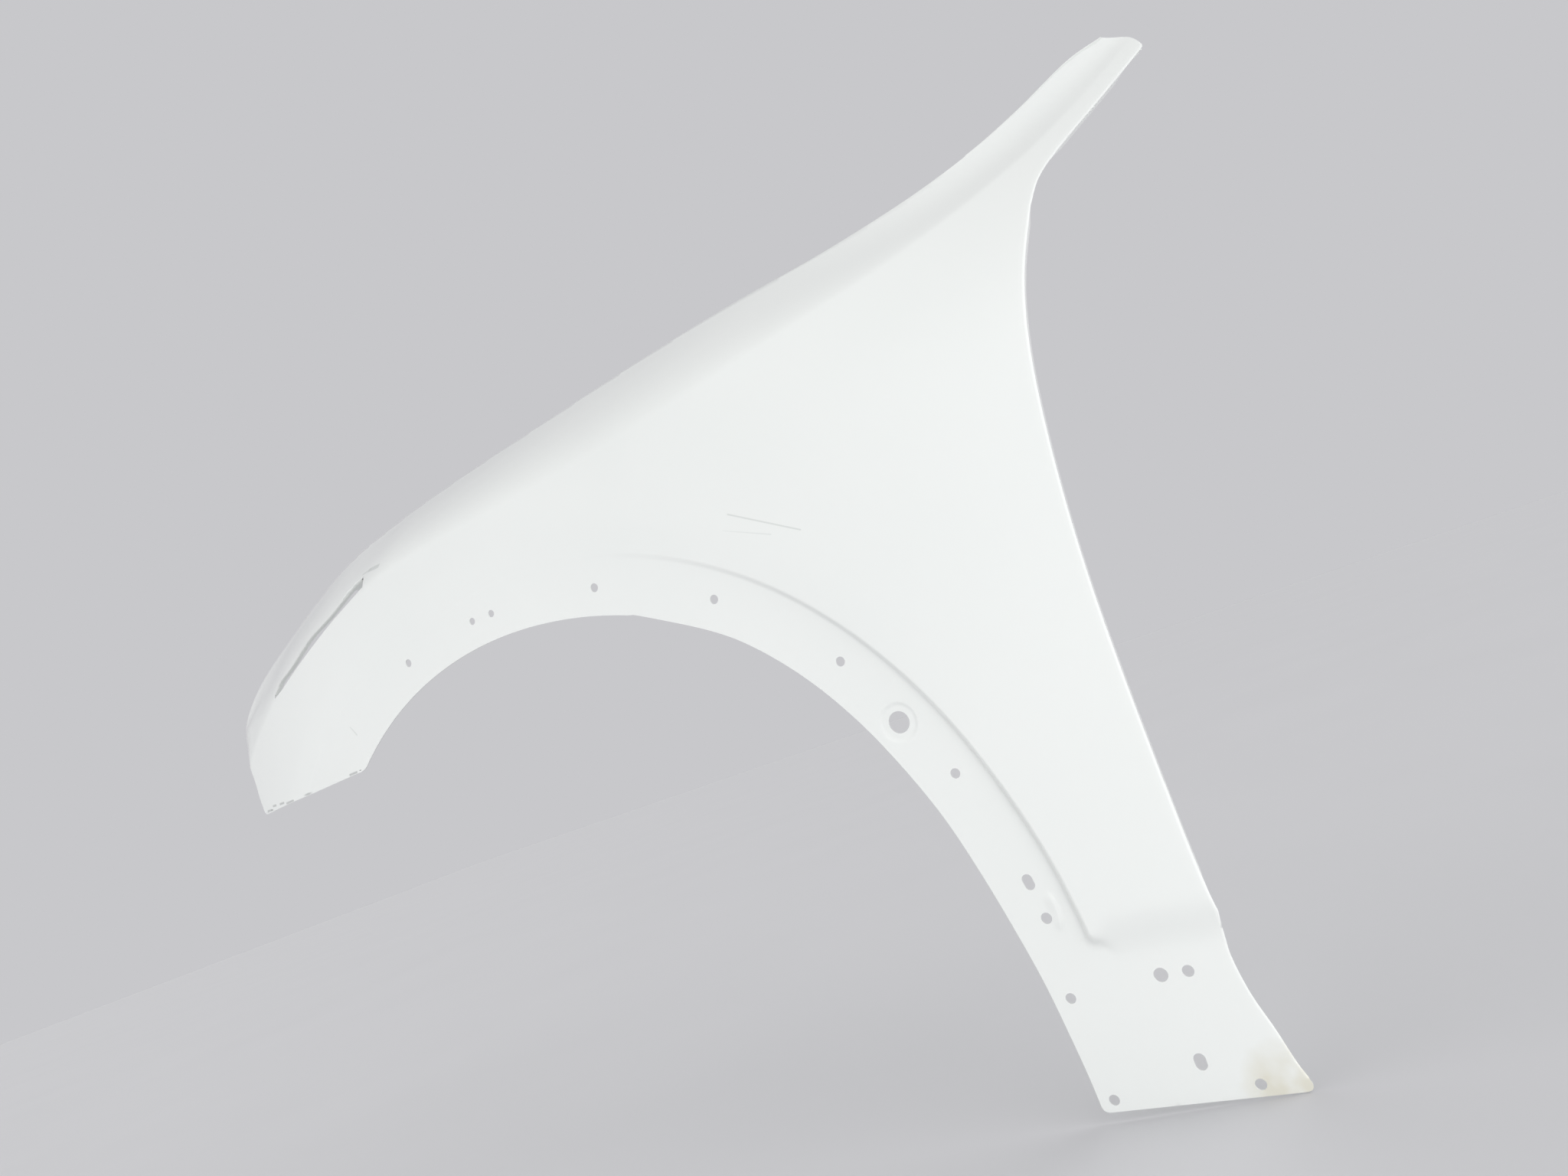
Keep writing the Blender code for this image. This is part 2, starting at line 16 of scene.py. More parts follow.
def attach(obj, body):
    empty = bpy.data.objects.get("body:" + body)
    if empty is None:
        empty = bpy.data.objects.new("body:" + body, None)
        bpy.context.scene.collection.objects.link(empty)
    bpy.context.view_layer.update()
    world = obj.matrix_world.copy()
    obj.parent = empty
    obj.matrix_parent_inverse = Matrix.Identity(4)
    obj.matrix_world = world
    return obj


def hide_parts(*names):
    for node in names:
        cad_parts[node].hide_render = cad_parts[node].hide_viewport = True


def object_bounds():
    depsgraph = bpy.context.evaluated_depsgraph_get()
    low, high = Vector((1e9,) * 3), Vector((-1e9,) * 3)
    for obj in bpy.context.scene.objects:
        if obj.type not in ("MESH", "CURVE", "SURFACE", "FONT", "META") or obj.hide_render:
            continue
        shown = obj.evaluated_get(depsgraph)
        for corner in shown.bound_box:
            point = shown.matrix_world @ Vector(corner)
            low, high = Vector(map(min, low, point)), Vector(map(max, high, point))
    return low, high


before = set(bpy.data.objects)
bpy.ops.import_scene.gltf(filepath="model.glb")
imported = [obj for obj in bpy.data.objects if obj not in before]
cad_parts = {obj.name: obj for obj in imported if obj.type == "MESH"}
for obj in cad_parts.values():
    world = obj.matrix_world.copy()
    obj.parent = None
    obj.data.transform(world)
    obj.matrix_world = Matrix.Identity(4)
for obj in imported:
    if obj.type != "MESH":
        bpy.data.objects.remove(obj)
DRAWN_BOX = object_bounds()
print("drawn box in metres:", [[round(v, 4) for v in corner] for corner in DRAWN_BOX])

# %% [markdown]
# The camera comes first, because it decides how fine the skin has to be. The wing is seen from in
# front of the wheel, with the camera tilted to one side, so the camera is placed by three
# directions: where it looks, what is to its right and what is up. The lens is a phone's wide one.

# %% Camera
CAMERA_AT = (0.2357, -0.7497, 0.2472)
CAMERA_LOOK = Vector((-0.440149, 0.890607, 0.114400))
CAMERA_RIGHT = Vector((0.828094, 0.451871, -0.331771))
SENSOR_WIDTH = 36.0
LENS = 27.04

camera_up = CAMERA_RIGHT.cross(CAMERA_LOOK)
turn = Matrix((CAMERA_RIGHT, camera_up, -CAMERA_LOOK)).transposed()
camera_data = bpy.data.cameras.new("camera")
camera_data.sensor_width = SENSOR_WIDTH
camera_data.lens = LENS
camera_data.clip_start = 0.01
camera = bpy.data.objects.new("camera", camera_data)
bpy.context.scene.collection.objects.link(camera)
camera.matrix_world = Matrix.Translation(CAMERA_AT) @ turn.to_4x4()
bpy.context.scene.camera = camera
print("camera", round(Vector(CAMERA_AT).length * 1000), "mm from the seat, lens", LENS, "mm")

# %% [markdown]
# The lines of the pressing are drawn in the side view, in millimetres from the foot's lower front
# corner: x runs to the rear, y inboard and z up. They are the same lines that the solid was made
# from. Places near the wheel arch are given by their angle about the wheel and their distance
# outside the arch's circle, because the arch, its trim seat and its clip holes share that centre.

# %% Lines of the pressing
MM = 0.001
SHEET = 0.8
SEAT = np.array([40.0, 5.8, 48.0])
ARCH_X, ARCH_Z, ARCH_R = -367.5, 58.5, 386.0


def around_arch(places):
    """Side view points from (angle about the wheel, distance outside the arch's circle)."""
    places = np.asarray(places, float)
    a = np.radians(places[:, 0])
    r = ARCH_R + places[:, 1]
    return np.column_stack([ARCH_X + r * np.cos(a), ARCH_Z + r * np.sin(a)])


ARCH_LINE = around_arch([(angle, 0.0) for angle in np.arange(121.2, 67.0, -1.5)]
                        + [(58, -2.5), (52, -4.5), (45, -9.5), (38, -15.5), (31, -21.5), (24, -26),
                           (17, -30), (10, -31), (4, -29), (-2, -25.5), (-6, -21.5), (-9.5, -17.4)])
FOOT_BACK = [(128, -9), (122, 8), (117, 30), (111, 53), (108, 76), (109, 92), (111, 106)]
DOOR_EDGE = [(111, 106), (109.5, 132), (109, 160), (109, 211), (109.5, 264), (111, 316),
             (114.5, 369), (120, 421), (127.5, 473), (138, 524), (153, 573)]
TAIL_LOWER = [(153, 573), (163, 592), (181, 608), (212, 628), (254, 656)]
TAIL_END = [(254, 656), (246, 671), (230, 681)]
HOOD_LINE = [(230, 120, 681), (203, 115, 676), (160, 108, 659.5), (118, 102, 647), (62, 97, 637.5),
             (-15, 93, 632), (-100, 90, 630.5), (-200, 88, 625.5), (-300, 89, 619.5),
             (-400, 91, 613.5), (-490, 93, 605.5), (-575, 98, 594.5), (-645, 103, 574),
             (-708, 109, 552), (-760, 112, 530), (-788, 109, 508), (-797, 102, 487),
             (-789, 91, 465), (-779, 80, 446)]
NOSE_FRONT = [(-779, 446), (-775.5, 427), (-775, 410), (-772, 391)]
ROLL_LINE = [(262, 679), (246, 668), (205, 641), (147, 614), (50, 585), (-40, 569), (-135, 555),
             (-228, 547), (-320, 544), (-402, 543), (-480, 539), (-560, 525), (-654, 500),
             (-722, 473), (-779, 446), (-806, 432)]
BAND_LINE = around_arch([(134, 66), (128, 62), (121, 57), (114, 51.5), (107, 45.5), (100, 41),
                         (93, 41), (86, 44), (79, 46.5), (72, 46.5), (65, 45.5), (58, 44),
                         (51, 41.2), (44, 37), (37, 32), (30, 26.5), (23, 21), (16, 17), (10, 14),
                         (6.6, 12.5)])
FOLD_LINE = np.vstack([BAND_LINE[-1:], [(46, 105), (70, 104.5), (96, 103), (122, 101), (150, 98)]])
CREASE_LINE = [(-560, 525), (-480, 539), (-430, 540), (-377, 538), (-329, 536), (-283, 530),
               (-243, 523), (-200, 510)]
SLIT_LINE = [(-684, 492), (-654, 503), (-560, 530), (-498, 545)]
print("arch", round(2 * ARCH_R), "mm across, sheet", SHEET, "mm thick")

# %% [markdown]
# A drawn line has few points, so a smooth curve goes through them, with a vertex every millimetre.
# Distance to such a curve is the tool that shapes the whole pressing. A search tree finds the
# nearest vertex, and the two pieces of curve that meet there give the exact distance and its side.

# %% Curves and distances
def run_along(line):
    """Length of the line up to each of its points."""
    return np.concatenate([[0.0], np.cumsum(np.linalg.norm(np.diff(line, axis=0), axis=1))])


def right_of(line):
    """Unit vector to the right of the line at each of its points."""
    tangent = np.gradient(line, axis=0)
    tangent /= np.linalg.norm(tangent, axis=1)[:, None]
    return np.column_stack([tangent[:, 1], -tangent[:, 0]])


def resample(points, step):
    """Spreads points evenly along a line, at about the given step."""
    points = np.asarray(points, float)
    run = run_along(points)
    at = np.linspace(0.0, run[-1], max(2, int(round(run[-1] / step)) + 1))
    return np.column_stack([np.interp(at, run, points[:, k]) for k in range(points.shape[1])])


def spline(points, step, fine=24):
    """A smooth curve through the points, with its vertices at about the given step."""
    p = np.asarray(points, float)
    p = np.vstack([2 * p[0] - p[1], p, 2 * p[-1] - p[-2]])
    t = np.linspace(0.0, 1.0, fine, endpoint=False)[:, None]
    pieces = []
    for a, b, c, d in zip(p[:-3], p[1:-2], p[2:-1], p[3:]):
        pieces.append(0.5 * (2 * b + (c - a) * t + (2 * a - 5 * b + 4 * c - d) * t ** 2
                             + (3 * b - a - 3 * c + d) * t ** 3))
    return resample(np.vstack(pieces + [p[-2:-1]]), step)


def nearest(points, others):
    """Number of the nearest of the others to each point, and its distance."""
    tree = KDTree(len(others))
    for k, (x, z) in enumerate(others):
        tree.insert((x, z, 0.0), k)
    tree.balance()
    found = [tree.find((x, z, 0.0)) for x, z in points]
    return np.array([f[1] for f in found]), np.array([f[2] for f in found])


def near_line(points, line):
    """Signed distance to a line, positive to its right, with the run along it."""
    at, _ = nearest(points, line)
    length = np.linalg.norm(np.diff(line, axis=0), axis=1)
    run = run_along(line)
    best = np.full(len(points), 1e9)
    signed = np.zeros(len(points))
    along = np.zeros(len(points))
    for k in (np.clip(at - 1, 0, len(length) - 1), np.clip(at, 0, len(length) - 1)):
        d = line[k + 1] - line[k]
        p = points - line[k]
        t = np.clip((p * d).sum(axis=1) / length[k] ** 2, 0.0, 1.0)
        gap = np.linalg.norm(p - d * t[:, None], axis=1)
        closer = gap < best
        side = np.sign(p[:, 0] * d[:, 1] - p[:, 1] * d[:, 0])
        best = np.where(closer, gap, best)
        signed = np.where(closer, side * gap, signed)
        along = np.where(closer, run[k] + t * length[k], along)
    return signed, along


CURVE_STEP = 1.0
HOOD_CURVE = spline(HOOD_LINE, CURVE_STEP)
HOOD_PLAN = HOOD_CURVE[:, [0, 2]]
ROLL_CURVE = spline(ROLL_LINE, CURVE_STEP)
BAND_CURVE = spline(BAND_LINE, CURVE_STEP)
FOLD_CURVE = spline(FOLD_LINE, CURVE_STEP)
STEP_CURVE = np.vstack([BAND_CURVE, FOLD_CURVE[1:]])
CREASE_CURVE = spline(CREASE_LINE, CURVE_STEP)
print("hood line", len(HOOD_CURVE), "mm long, trim seat", len(BAND_CURVE), "mm")

# %% [markdown]
# The skin is a height field: at each point of the side view it says how far inboard the painted
# face lies. The press made it in this order, and so does the code. First comes the large form,
# then the roll up to the hood, the seat for the wheel arch trim, the soft character line, and last
# the two small forms that stiffen the sheet: a ring pressed in round the large hole, and a crescent
# ridge to the rear of a clip hole.

# %% Large form
PLAN_START, PLAN_RADIUS = -316.0, 1370.0
LEAN_START, LEAN_SLOPE = 474.0, 0.14
SHOULDER_START, SHOULDER_SLOPE = 505.0, 0.55
SHOULDER_FROM, SHOULDER_RUN = -210.0, 370.0
SOFT = 26.0


def smooth_step(t):
    """Runs from 0 to 1 with level ends."""
    t = np.clip(t, 0.0, 1.0)
    return t * t * (3.0 - 2.0 * t)


def soft_ramp(t, width):
    """Zero below the start and a straight slope above it, with a soft bend between."""
    return width * np.log1p(np.exp(np.clip(t / width, -40.0, 40.0)))


def body_side(x, z):
    """The large smooth form, before any line or step is pressed in."""
    forward = np.maximum(0.0, PLAN_START - x)
    y = forward ** 2 / (2.0 * PLAN_RADIUS) + LEAN_SLOPE * soft_ramp(z - LEAN_START, SOFT)
    rear = smooth_step((x - SHOULDER_FROM) / SHOULDER_RUN)
    return y + rear * SHOULDER_SLOPE * soft_ramp(z - SHOULDER_START, SOFT)


print("nose lies", round(float(body_side(-770.0, 400.0))), "mm inboard of the wheel arch")

# %% Lines and steps pressed into it
ROLL_POWER, TAIL_POWER = 1.52, 1.35
TAIL_POWER_FROM, TAIL_POWER_RUN = 40.0, 80.0
# Averaging along the hood line: every so many points, its reach as a share of the distance, and
# the distance in which it sets in
HOOD_SKIP, HOOD_BLEND, HOOD_NEAR = 6, 0.25, 30.0
RECESS, BAND_STEP, FOLD_STEP, FOLD_RUN = 5.0, 5.0, 32.0, 14.0
SOFT_STEP, SOFT_FROM, SOFT_TO, SOFT_SHARE = 60.0, 420.0, 870.0, 0.95
CREASE_HEIGHT, CREASE_BELOW, CREASE_ABOVE, CREASE_ROUND = 3.5, 70.0, 22.0, 4.0
CREASE_FOOT = 0.02
CREASE_IN_FROM, CREASE_IN_RUN = -540.0, 90.0
CREASE_OUT_FROM, CREASE_OUT_RUN = -370.0, 165.0
BIG_HOLE = (34.0, 1.5, 15.4)
COIN_RADIUS, COIN_EDGE, COIN_DEPTH = 14.5, 3.0, 1.0
CRESCENT_CENTRE = np.array([-15.0, 128.0])
CRESCENT_RADIUS, CRESCENT_RISE, CRESCENT_FALL, CRESCENT_HEIGHT = 30.6, 9.0, 3.6, 1.3
CRESCENT_MID_ANGLE, CRESCENT_HALF_ANGLE = 0.0, 29.0
BIG_AT = around_arch([BIG_HOLE[:2]])[0]


def skin(points):
    """Inboard depth of the painted face at points of the side view."""
    points = np.asarray(points, float)
    x, z = points.T
    side = body_side(x, z)
    # Roll from the roll line up to the hood line
    beyond, _ = near_line(points, ROLL_CURVE)
    inside, along = near_line(points, HOOD_PLAN)
    hood_y = np.interp(along, run_along(HOOD_PLAN), HOOD_CURVE[:, 1])
    # Far from the hood line many of its places are about as near, so their depths are averaged
    places = HOOD_PLAN[::HOOD_SKIP]
    gap = np.hypot(x[:, None] - places[:, 0], z[:, None] - places[:, 1])
    weight = np.exp((1.0 - gap / np.maximum(gap.min(axis=1, keepdims=True), 1.0)) / HOOD_BLEND)
    mean_y = (weight * HOOD_CURVE[::HOOD_SKIP, 1]).sum(axis=1) / weight.sum(axis=1)
    hood_y = hood_y + (mean_y - hood_y) * smooth_step(np.abs(inside) / HOOD_NEAR)
    beyond = np.maximum(0.0, beyond)
    share = beyond / np.maximum(beyond + np.abs(inside), 1e-6)
    tail = smooth_step((x - TAIL_POWER_FROM) / TAIL_POWER_RUN)
    y = side + (hood_y - side) * share ** (ROLL_POWER - (ROLL_POWER - TAIL_POWER) * tail)
    # Seat of the arch trim, and the fold over the foot
    inner, along = near_line(points, STEP_CURVE)
    width = BAND_STEP + (FOLD_STEP - BAND_STEP) * smooth_step((along - len(BAND_CURVE)) / FOLD_RUN)
    crisp = 1.0 - SOFT_SHARE * smooth_step((SOFT_TO - along) / (SOFT_TO - SOFT_FROM))
    y = y + RECESS * (crisp * smooth_step(0.5 + inner / width)
                      + (1.0 - crisp) * smooth_step(0.5 + inner / SOFT_STEP))
    # Character line with a rounded crest
    above, _ = near_line(points, CREASE_CURVE)
    soft = np.sqrt(above ** 2 + CREASE_ROUND ** 2) - CREASE_ROUND
    ridge = 1.0 - soft / np.where(above < 0.0, CREASE_BELOW, CREASE_ABOVE)
    fade = smooth_step((x - CREASE_IN_FROM) / CREASE_IN_RUN)
    fade = fade * (1.0 - smooth_step((x - CREASE_OUT_FROM) / CREASE_OUT_RUN))
    y = y - CREASE_HEIGHT * fade * 0.5 * (ridge + np.sqrt(ridge ** 2 + CREASE_FOOT))
    # Ring pressed in round the large hole, and crescent ridge
    r = np.linalg.norm(points - BIG_AT, axis=1)
    y = y + COIN_DEPTH * smooth_step((COIN_RADIUS - r) / COIN_EDGE)
    d = points - CRESCENT_CENTRE
    off = np.linalg.norm(d, axis=1) - CRESCENT_RADIUS
    ridge = smooth_step(1.0 + off / CRESCENT_RISE) * (1.0 - smooth_step(0.5 + off / CRESCENT_FALL))
    sweep = np.abs(np.degrees(np.arctan2(d[:, 1], d[:, 0])) - CRESCENT_MID_ANGLE)
    half = smooth_step(2.0 * (1.0 - sweep / CRESCENT_HALF_ANGLE))
    return y - CRESCENT_HEIGHT * ridge * half


print("trim seat lies", RECESS, "mm inboard; skin at the arch top",
      round(float(skin(around_arch([(90, 10)]))[0]), 2), "mm")

# %% [markdown]
# The trimmed edge is one closed loop, cut by the trim die, with small round corners. Each stretch
# keeps its name, because some are folded inboard and others stay a bare cut. The pierced holes take
# clips and bolts: 7 mm rounds for the arch trim, one large hole, ovals that allow for tolerance,
# and a long open slit under the lamp.

# %% Trimmed edge
ARCH_FRONT_CUT, ARCH_REAR_CUT, FOOT_CUT, NOSE_CUT, TAIL_CUT = 7.0, 5.0, 8.0, 6.0, 4.0


def blend_corner(before, after, cut, count):
    """Rounds the corner where one curve ends and the next starts."""
    corner = before[-1]
    before = before[np.linalg.norm(before - corner, axis=1) > cut]
    after = after[np.linalg.norm(after - corner, axis=1) > cut]
    start = corner + (before[-1] - corner) * cut / np.linalg.norm(before[-1] - corner)
    end = corner + (after[0] - corner) * cut / np.linalg.norm(after[0] - corner)
    t = np.linspace(0.0, 1.0, count + 1)[:, None]
    arc = (1 - t) ** 2 * start + 2 * t * (1 - t) * corner + t ** 2 * end
    return np.vstack([before, arc]), after


def trimmed_edge(step):
    """The edge, anticlockwise in the side view, with the name of each stretch."""
    arch = resample(spline(ARCH_LINE, step / 2.0), step)
    nose_bottom = resample([NOSE_FRONT[-1], arch[0]], step)
    nose_front = spline(NOSE_FRONT, step)
    foot_bottom = resample([ARCH_LINE[-1], FOOT_BACK[0]], step)
    foot_back = spline(FOOT_BACK, step)
    tail_lower = spline(TAIL_LOWER, step)
    tail_end = spline(TAIL_END, step)
    nose_bottom, arch = blend_corner(nose_bottom, arch, ARCH_FRONT_CUT, 6)
    arch, foot_bottom = blend_corner(arch, foot_bottom, ARCH_REAR_CUT, 6)
    foot_bottom, foot_back = blend_corner(foot_bottom, foot_back, FOOT_CUT, 8)
    nose_front, nose_bottom = blend_corner(nose_front, nose_bottom, NOSE_CUT, 6)
    tail_lower, tail_end = blend_corner(tail_lower, tail_end, TAIL_CUT, 5)
    parts = [("arch", arch), ("foot_bottom", foot_bottom), ("foot_back", foot_back[:-1]),
             ("door", spline(DOOR_EDGE, step)[:-1]), ("tail_lower", tail_lower),
             ("tail_end", tail_end[:-1]), ("hood", resample(HOOD_PLAN, step)[:-1]),
             ("nose_front", nose_front), ("nose_bottom", nose_bottom)]
    names = [name for name, p in parts for _ in p]
    return np.vstack([p for _, p in parts]), names


FIELD_STEP = 3.7
EDGE_STEP = 3.0
loop, loop_names = trimmed_edge(EDGE_STEP)
print("trimmed edge:", len(loop), "points in", len(set(loop_names)), "stretches")

# %% Pierced holes
ARCH_HOLES = [(103.7, 26, 7.0), (91.5, 22.5, 6.0), (88.4, 21.5, 6.0), (73.3, 22, 7.0),
              (58, 21, 7.0), (42.4, 14, 7.0), (26.4, 2, 7.0), (10.1, -7.5, 7.5), (2.1, -16.5, 7.0),
              (-8.2, -9, 7.0)]
FOOT_HOLES = [(97, 0, 7.0), (63, 75, 9.0), (80, 74, 7.5)]
OVAL_HOLES = [(2, 150, 10.8, 7.2, 8.0), (67, 19, 10.8, 7.6, 0.0)]
SLIT_HALF, SLIT_POINT = 4.5, 26.0
SLIT_WAVE, SLIT_WAVE_LENGTH, SLIT_NARROW_AT = 1.7, 86.0, 47.0
HOLE_POINTS, BIG_POINTS = 28, 48


def circle(centre, radius, count):
    """A round loop."""
    a = np.linspace(0.0, 2.0 * math.pi, count, endpoint=False)
    return np.asarray(centre) + radius * np.column_stack([np.cos(a), np.sin(a)])


def oval(centre, length, width, tilt):
    """An oval loop with round ends, its long side near the vertical."""
    a = np.linspace(0.0, 2.0 * math.pi, HOLE_POINTS, endpoint=False)
    half = (length - width) / 2.0
    px = width / 2.0 * np.cos(a)
    pz = width / 2.0 * np.sin(a) + np.where(np.sin(a) >= 0.0, half, -half)
    c, s = math.cos(math.radians(tilt)), math.sin(math.radians(tilt))
    return np.asarray(centre) + np.column_stack([px * c - pz * s, px * s + pz * c])


def slit_loop(step):
    """The slit, pointed at its front end, with small waves in the upper lip."""
    line = spline(SLIT_LINE, step)
    run = run_along(line)
    across = -right_of(line)
    half = SLIT_HALF * np.minimum(1.0, 0.25 + run / SLIT_POINT)
    turns = (run - SLIT_NARROW_AT) / SLIT_WAVE_LENGTH
    wave = -SLIT_WAVE * np.cos(2.0 * math.pi * turns) * smooth_step(run / SLIT_POINT)
    return line - across * half[:, None], (line + across * (half + wave)[:, None])[::-1]


slit_lower, slit_upper = slit_loop(2.0)
holes = [circle(around_arch([(angle, out)])[0], d / 2.0, HOLE_POINTS)
         for angle, out, d in ARCH_HOLES]
holes += [circle((x, z), d / 2.0, HOLE_POINTS) for x, z, d in FOOT_HOLES]
holes += [circle(BIG_AT, BIG_HOLE[2] / 2.0, BIG_POINTS)]
holes += [oval((x, z), l, w, tilt) for x, z, l, w, tilt in OVAL_HOLES]
holes += [np.vstack([slit_lower, slit_upper])]
print(len(holes), "pierced openings")

# %% [markdown]
# The skin is meshed in the side view and then pushed to its depth. A plain grid would blur the
# 5 mm step, so rows of closely spaced points follow each line of the pressing, rings follow the
# two small forms, and an even field fills the rest. A constrained triangulation joins them and
# keeps every drawn edge. Subdividing the coarse solid would be quicker, but it would only smooth
# its facets.

# %% Points of the skin
def rows_beside(line, offsets, step):
    """Rows of points along a line, each at its distance to the line's right."""
    line = resample(line, step)
    across = right_of(line)
    return np.vstack([line + across * off for off in offsets])


def inside_loop(points, ring):
    """True for the points inside a closed loop."""
    x, z = points.T
    hit = np.zeros(len(points), bool)
    for a, b in zip(ring, np.roll(ring, -1, axis=0)):
        if b[1] != a[1]:
            crosses = (a[1] > z) != (b[1] > z)
            hit ^= crosses & (x < (b[0] - a[0]) * (z - a[1]) / (b[1] - a[1]) + a[0])
    return hit


def stretch(name):
    """The points of one named stretch of the trimmed edge."""
    return np.array([p for p, n in zip(loop, loop_names) if n == name])


EDGE_ROLL = 1.8
ROLL_ROWS = [-EDGE_ROLL * s for s in (0.02, 0.09, 0.2, 0.36, 0.6, 1.0)]
RING_GAP = 0.8
COIN_PAST, CRESCENT_PAST, CRESCENT_POINTS = 1.0, 3.1, 22
STEP_ROWS = np.arange(-3.5, 3.6, 0.7)
FOLD_ROWS = np.arange(-13.2, 13.3, 2.4)
BEND_ROWS = (-2.0, 0.0, 2.0, 4.5, 7.5, 11.0)
CREST_ROWS = (-7.5, -4.5, -2.0, 0.0, 2.0, 4.5, 7.5)
STEP_SPACING, ROW_SPACING = 3.5, 3.6
JOIN_GAP = 6
RIM_STEP = 0.5
FIELD_ROW = 0.866

sweep = np.linspace(-CRESCENT_HALF_ANGLE, CRESCENT_HALF_ANGLE, CRESCENT_POINTS)
sweep = np.radians(CRESCENT_MID_ANGLE + sweep)
coin_radii = np.arange(COIN_RADIUS - COIN_EDGE - RING_GAP, COIN_RADIUS + COIN_PAST, RING_GAP)
crescent_radii = np.arange(CRESCENT_RADIUS - CRESCENT_RISE, CRESCENT_RADIUS + CRESCENT_PAST,
                           RING_GAP)
low, high = loop.min(axis=0), loop.max(axis=0)
row_count = int((high[1] - low[1]) / (FIELD_STEP * FIELD_ROW)) + 1
grid_x, grid_j = np.meshgrid(np.arange(low[0], high[0], FIELD_STEP), np.arange(0, row_count))
field = np.column_stack([(grid_x + (grid_j % 2) * FIELD_STEP / 2.0).ravel(),
                         (low[1] + grid_j * FIELD_STEP * FIELD_ROW).ravel()])
# Each family of points keeps a gap to the rims and a gap to the points before it
families = [
    (0.5, 0.05, [circle(BIG_AT, r, BIG_POINTS) for r in coin_radii]),
    (0.5, 0.05, [CRESCENT_CENTRE + r * np.column_stack([np.cos(sweep), np.sin(sweep)])
                 for r in crescent_radii]),
    (0.03, 0.1, [rows_beside(stretch("door"), ROLL_ROWS, EDGE_STEP)]),
    (0.03, 0.1, [rows_beside(stretch("foot_back"), ROLL_ROWS, EDGE_STEP)]),
    (0.03, 0.1, [rows_beside(stretch("tail_lower"), ROLL_ROWS, EDGE_STEP)]),
    (0.6, 0.6, [rows_beside(BAND_CURVE[:-JOIN_GAP], STEP_ROWS, STEP_SPACING)]),
    (1.4, 1.4, [rows_beside(FOLD_CURVE[JOIN_GAP:], FOLD_ROWS, ROW_SPACING)]),
    (1.4, 1.4, [rows_beside(ROLL_CURVE, BEND_ROWS, ROW_SPACING)]),
    (1.4, 1.4, [rows_beside(CREASE_CURVE, CREST_ROWS, ROW_SPACING)]),
    (FIELD_STEP * 0.6, FIELD_STEP * 0.6, [field]),
]
rims = [loop] + holes
rim_points = np.vstack(rims)
rim_dense = np.vstack([resample(np.vstack([r, r[:1]]), RIM_STEP) for r in rims])
kept = rim_points
for rim_gap, point_gap, sets in families:
    points = np.vstack(sets)
    points = points[inside_loop(points, loop)]
    for hole in holes:
        points = points[~inside_loop(points, hole)]
    points = points[nearest(points, rim_dense)[1] > rim_gap]
    points = points[nearest(points, kept)[1] > point_gap]
    kept = np.vstack([kept, points])
print(len(kept), "points in the side view")

# %% Triangles of the skin
def triangulate(rings, inner):
    """Triangles between an outline, its holes and inner points, with each ring point's place."""
    edges = []
    start = 0
    for ring in rings:
        n = len(ring)
        edges += [(start + k, start + (k + 1) % n) for k in range(n)]
        start += n
    flat = [Vector((float(x), float(z))) for x, z in np.vstack(rings + [inner])]
    verts, _, found, origin, _, _ = delaunay_2d_cdt(flat, edges, [], 0, 1e-5, True)
    verts = np.array([tuple(v) for v in verts])
    found = np.array([tuple(f) for f in found])
    centre = verts[found].mean(axis=1)
    keep = inside_loop(centre, rings[0])
    for ring in rings[1:]:
        keep &= ~inside_loop(centre, ring)
    place_of = {source: k for k, sources in enumerate(origin) for source in sources}
    triangles = [tuple(int(v) for v in f) for f in found[keep]]
    return verts, triangles, [place_of[k] for k in range(start)]


plan, plan_faces, ring_places = triangulate(rims, kept[len(rim_points):])
rim_run = ring_places[:len(loop)]
print(len(plan), "vertices and", len(plan_faces), "triangles on the painted face")

# %% [markdown]
# Where the door opens past the wing, and along the tail, the sheet is folded inboard, so the edge
# is a small round roll and not a cut. The face itself turns through the first part of that roll.
# The hood edge turns down in a wall and then inboard in the bolting flange, which is level at each
# of the four pads. The tail, the lamp's edge and the slit have short returns of their own.

# %% Rolled edge of the face
FOOT_ROLL = 1.3


def rolled_edge(points, depth):
    """Turns the face inboard where it meets a folded stretch of the edge."""
    for name in ("door", "foot_back", "tail_lower"):
        line = resample(stretch(name), RIM_STEP)
        _, gap = nearest(points, line)
        left = np.clip(EDGE_ROLL - gap, 0.0, EDGE_ROLL)
        height = FOOT_ROLL if name == "foot_back" else EDGE_ROLL
        depth = depth + height / EDGE_ROLL * (EDGE_ROLL - np.sqrt(EDGE_ROLL ** 2 - left ** 2))
    return depth


depth = rolled_edge(plan, skin(plan))
points = [np.array([x, y, z]) for (x, z), y in zip(plan, depth)]
faces = list(plan_faces)
print("deepest point of the face", round(float(depth.max()), 1), "mm inboard")

# %% Folded strips
HOOD_IN, HOOD_WALL, HOOD_FLANGE = 3.0, 19.0, 24.0
HOOD_FROM_X, HOOD_TO_X, RETURN_GAP = 95.0, -600.0, 20.0
PAD_X = (58.0, -140.0, -340.0, -545.0)
PAD_FLAT, PAD_BLEND = 24.0, 24.0
PAD_SLOT_LENGTH, PAD_SLOT_WIDTH, PAD_SLOT_SHARE = 11.0, 7.0, 0.58
DOOR_RETURN, DOOR_RETURN_FROM_Z = 9.0, 118.0
TAIL_RETURN, TAIL_RETURN_FROM_X, TAIL_RETURN_TO_X = 7.0, 172.0, 238.0
LAMP_RETURN = 12.0
TAIL_WAY, LAMP_WAY = (0.1, 0.55, -0.8), (0.3, 0.9, -0.3)
RETURN_BEND, RETURN_END = 1.1, 1.2
